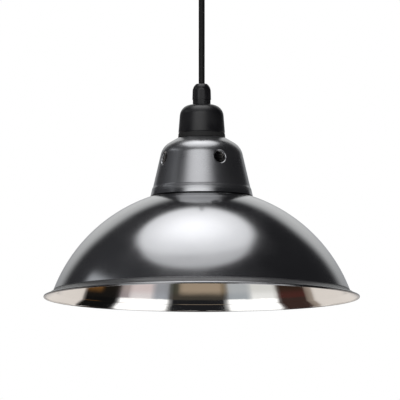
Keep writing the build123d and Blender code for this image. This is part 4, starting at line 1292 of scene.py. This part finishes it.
class Studio(Nodes):
    """Studio light painted by direction: +Y is behind the lamp, and the camera is at -Y."""

    def __init__(self, tree):
        super().__init__(tree)
        way = self.tree.nodes.new("ShaderNodeTexCoord").outputs["Generated"]
        self.x, self.y, self.z = self.node("SeparateXYZ", {0: way}).outputs
        self.left = self.math("MULTIPLY", self.x, -1.0)
        self.front = self.math("MULTIPLY", self.y, -1.0)
        sideways = self.math("ADD", self.x, self.y)
        self.light = self.mix(self.between(sideways, 0.0, 1.0, *ROOM_TURN), ROOM_PALE, ROOM_DARK)

    def band(self, value, low, high, soft):
        """1 between two edges, with a soft change at each."""
        above = self.between(value, 0.0, 1.0, low - soft / 2, low + soft / 2)
        under = self.between(value, 1.0, 0.0, high - soft / 2, high + soft / 2)
        return self.math("MULTIPLY", above, under)

    def window(self, across, along, ahead, edges, soft):
        """1 inside a rectangle on the plane one unit ahead."""
        depth = self.math("MAXIMUM", ahead, GRAZING)
        wide = self.band(self.math("DIVIDE", across, depth), *edges[:2], soft)
        tall = self.band(self.math("DIVIDE", along, depth), *edges[2:], soft)
        facing = self.math("GREATER_THAN", ahead, 0.0)
        return self.math("MULTIPLY", self.math("MULTIPLY", wide, tall), facing)

    def disc(self, across, along, ahead, shape, edge):
        """1 inside a round light on the plane one unit ahead, fading between parts of its reach."""
        x, y, wide, long = shape
        depth = self.math("MAXIMUM", ahead, GRAZING)
        u = self.math("DIVIDE", self.math("DIVIDE", across, depth), wide)
        v = self.math("DIVIDE", self.math("DIVIDE", along, depth), long)
        offset = {0: self.math("SUBTRACT", u, x / wide), 1: self.math("SUBTRACT", v, y / long)}
        return self.between(self.length(offset), 1.0, 0.0, edge[1], edge[0])

    def length(self, sides):
        vector = self.node("CombineXYZ", sides).outputs[0]
        return self.node("VectorMath", {0: vector}, operation="LENGTH").outputs["Value"]

    def paint(self, mask, colour):
        self.light = self.mix(mask, self.light, colour)

    def fan(self, turn, runs):
        """Colours by turn, from -180 to 180 degrees, each held up to the next."""
        share = self.math("ADD", self.math("DIVIDE", turn, 360), 0.5)
        made = self.node("ValToRGB", {0: share})
        stops = made.color_ramp.elements
        stops.remove(stops[-1])
        before = WARM
        stops[0].color = rgb(before)
        for start, colour in (*runs, (WARM_FROM, WARM)):
            stops.new((start - FAN_BLEND) / 360 + 0.5).color = rgb(before)
            stops.new((start + FAN_BLEND) / 360 + 0.5).color = rgb(colour)
            before = colour
        return made.outputs["Color"]

    def below(self):
        """The fans, by the turn and the tilt of the mirror that would show each direction."""
        gaze = radians(CAMERA_RISE)
        back = self.math("SUBTRACT", cos(gaze), self.y)
        drop = self.math("SUBTRACT", sin(gaze), self.z)
        turn = self.math("DEGREES", self.math("ARCTAN2", self.x, back))
        tilt = self.math("DEGREES", self.math("ARCTAN2", drop, self.length({0: self.x, 1: back})))
        high = self.between(tilt, 0.0, 1.0, *HIGH_TILTS)
        upper = self.mix(high, self.fan(turn, LOW_FAN), self.fan(turn, HIGH_FAN))
        return self.mix(self.band(tilt, *LOW_TILTS, LOW_SOFT), self.fan(turn, LIP_FAN), upper)


def make_studio():
    world = bpy.data.worlds.new("studio")
    bpy.context.scene.world = world
    world.use_nodes = True
    studio = Studio(world.node_tree)
    studio.paint(studio.between(studio.z, 1.0, 0.0, *BELOW_EDGE), studio.below())
    behind = (studio.x, studio.z, studio.y)
    before = (studio.x, studio.z, studio.front)
    beside = (studio.y, studio.z, studio.left)
    above = (studio.x, studio.y, studio.z)
    grading = studio.between(studio.z, 0.0, 1.0, *BACKDROP_RISE)
    backdrop = studio.mix(grading, BACKDROP_LOW, BACKDROP_HIGH)
    studio.paint(studio.window(*behind, BACKDROP, BACKDROP_SOFT), backdrop)
    studio.paint(studio.window(*beside, SIDE_CARD, SIDE_CARD_SOFT), SIDE_CARD_LIGHT)
    studio.paint(studio.disc(*before, CARD, CARD_EDGE), CARD_LIGHT)
    studio.paint(studio.disc(*above, APRON, APRON_EDGE), APRON_LIGHT)
    studio.paint(studio.disc(*above, SOFTBOX, SOFTBOX_EDGE), SOFTBOX_LIGHT)
    studio.paint(studio.disc(*above, SOFTBOX, LAMP_EDGE), LAMP_LIGHT)
    seen = studio.node("LightPath", {}).outputs["Is Camera Ray"]
    light = studio.mix(seen, studio.light, SEEN_WHITE)
    studio.tree.links.new(light, studio.tree.nodes["Background"].inputs["Color"])


make_floor()
make_studio()
bpy.context.scene.view_settings.view_transform = "Standard"
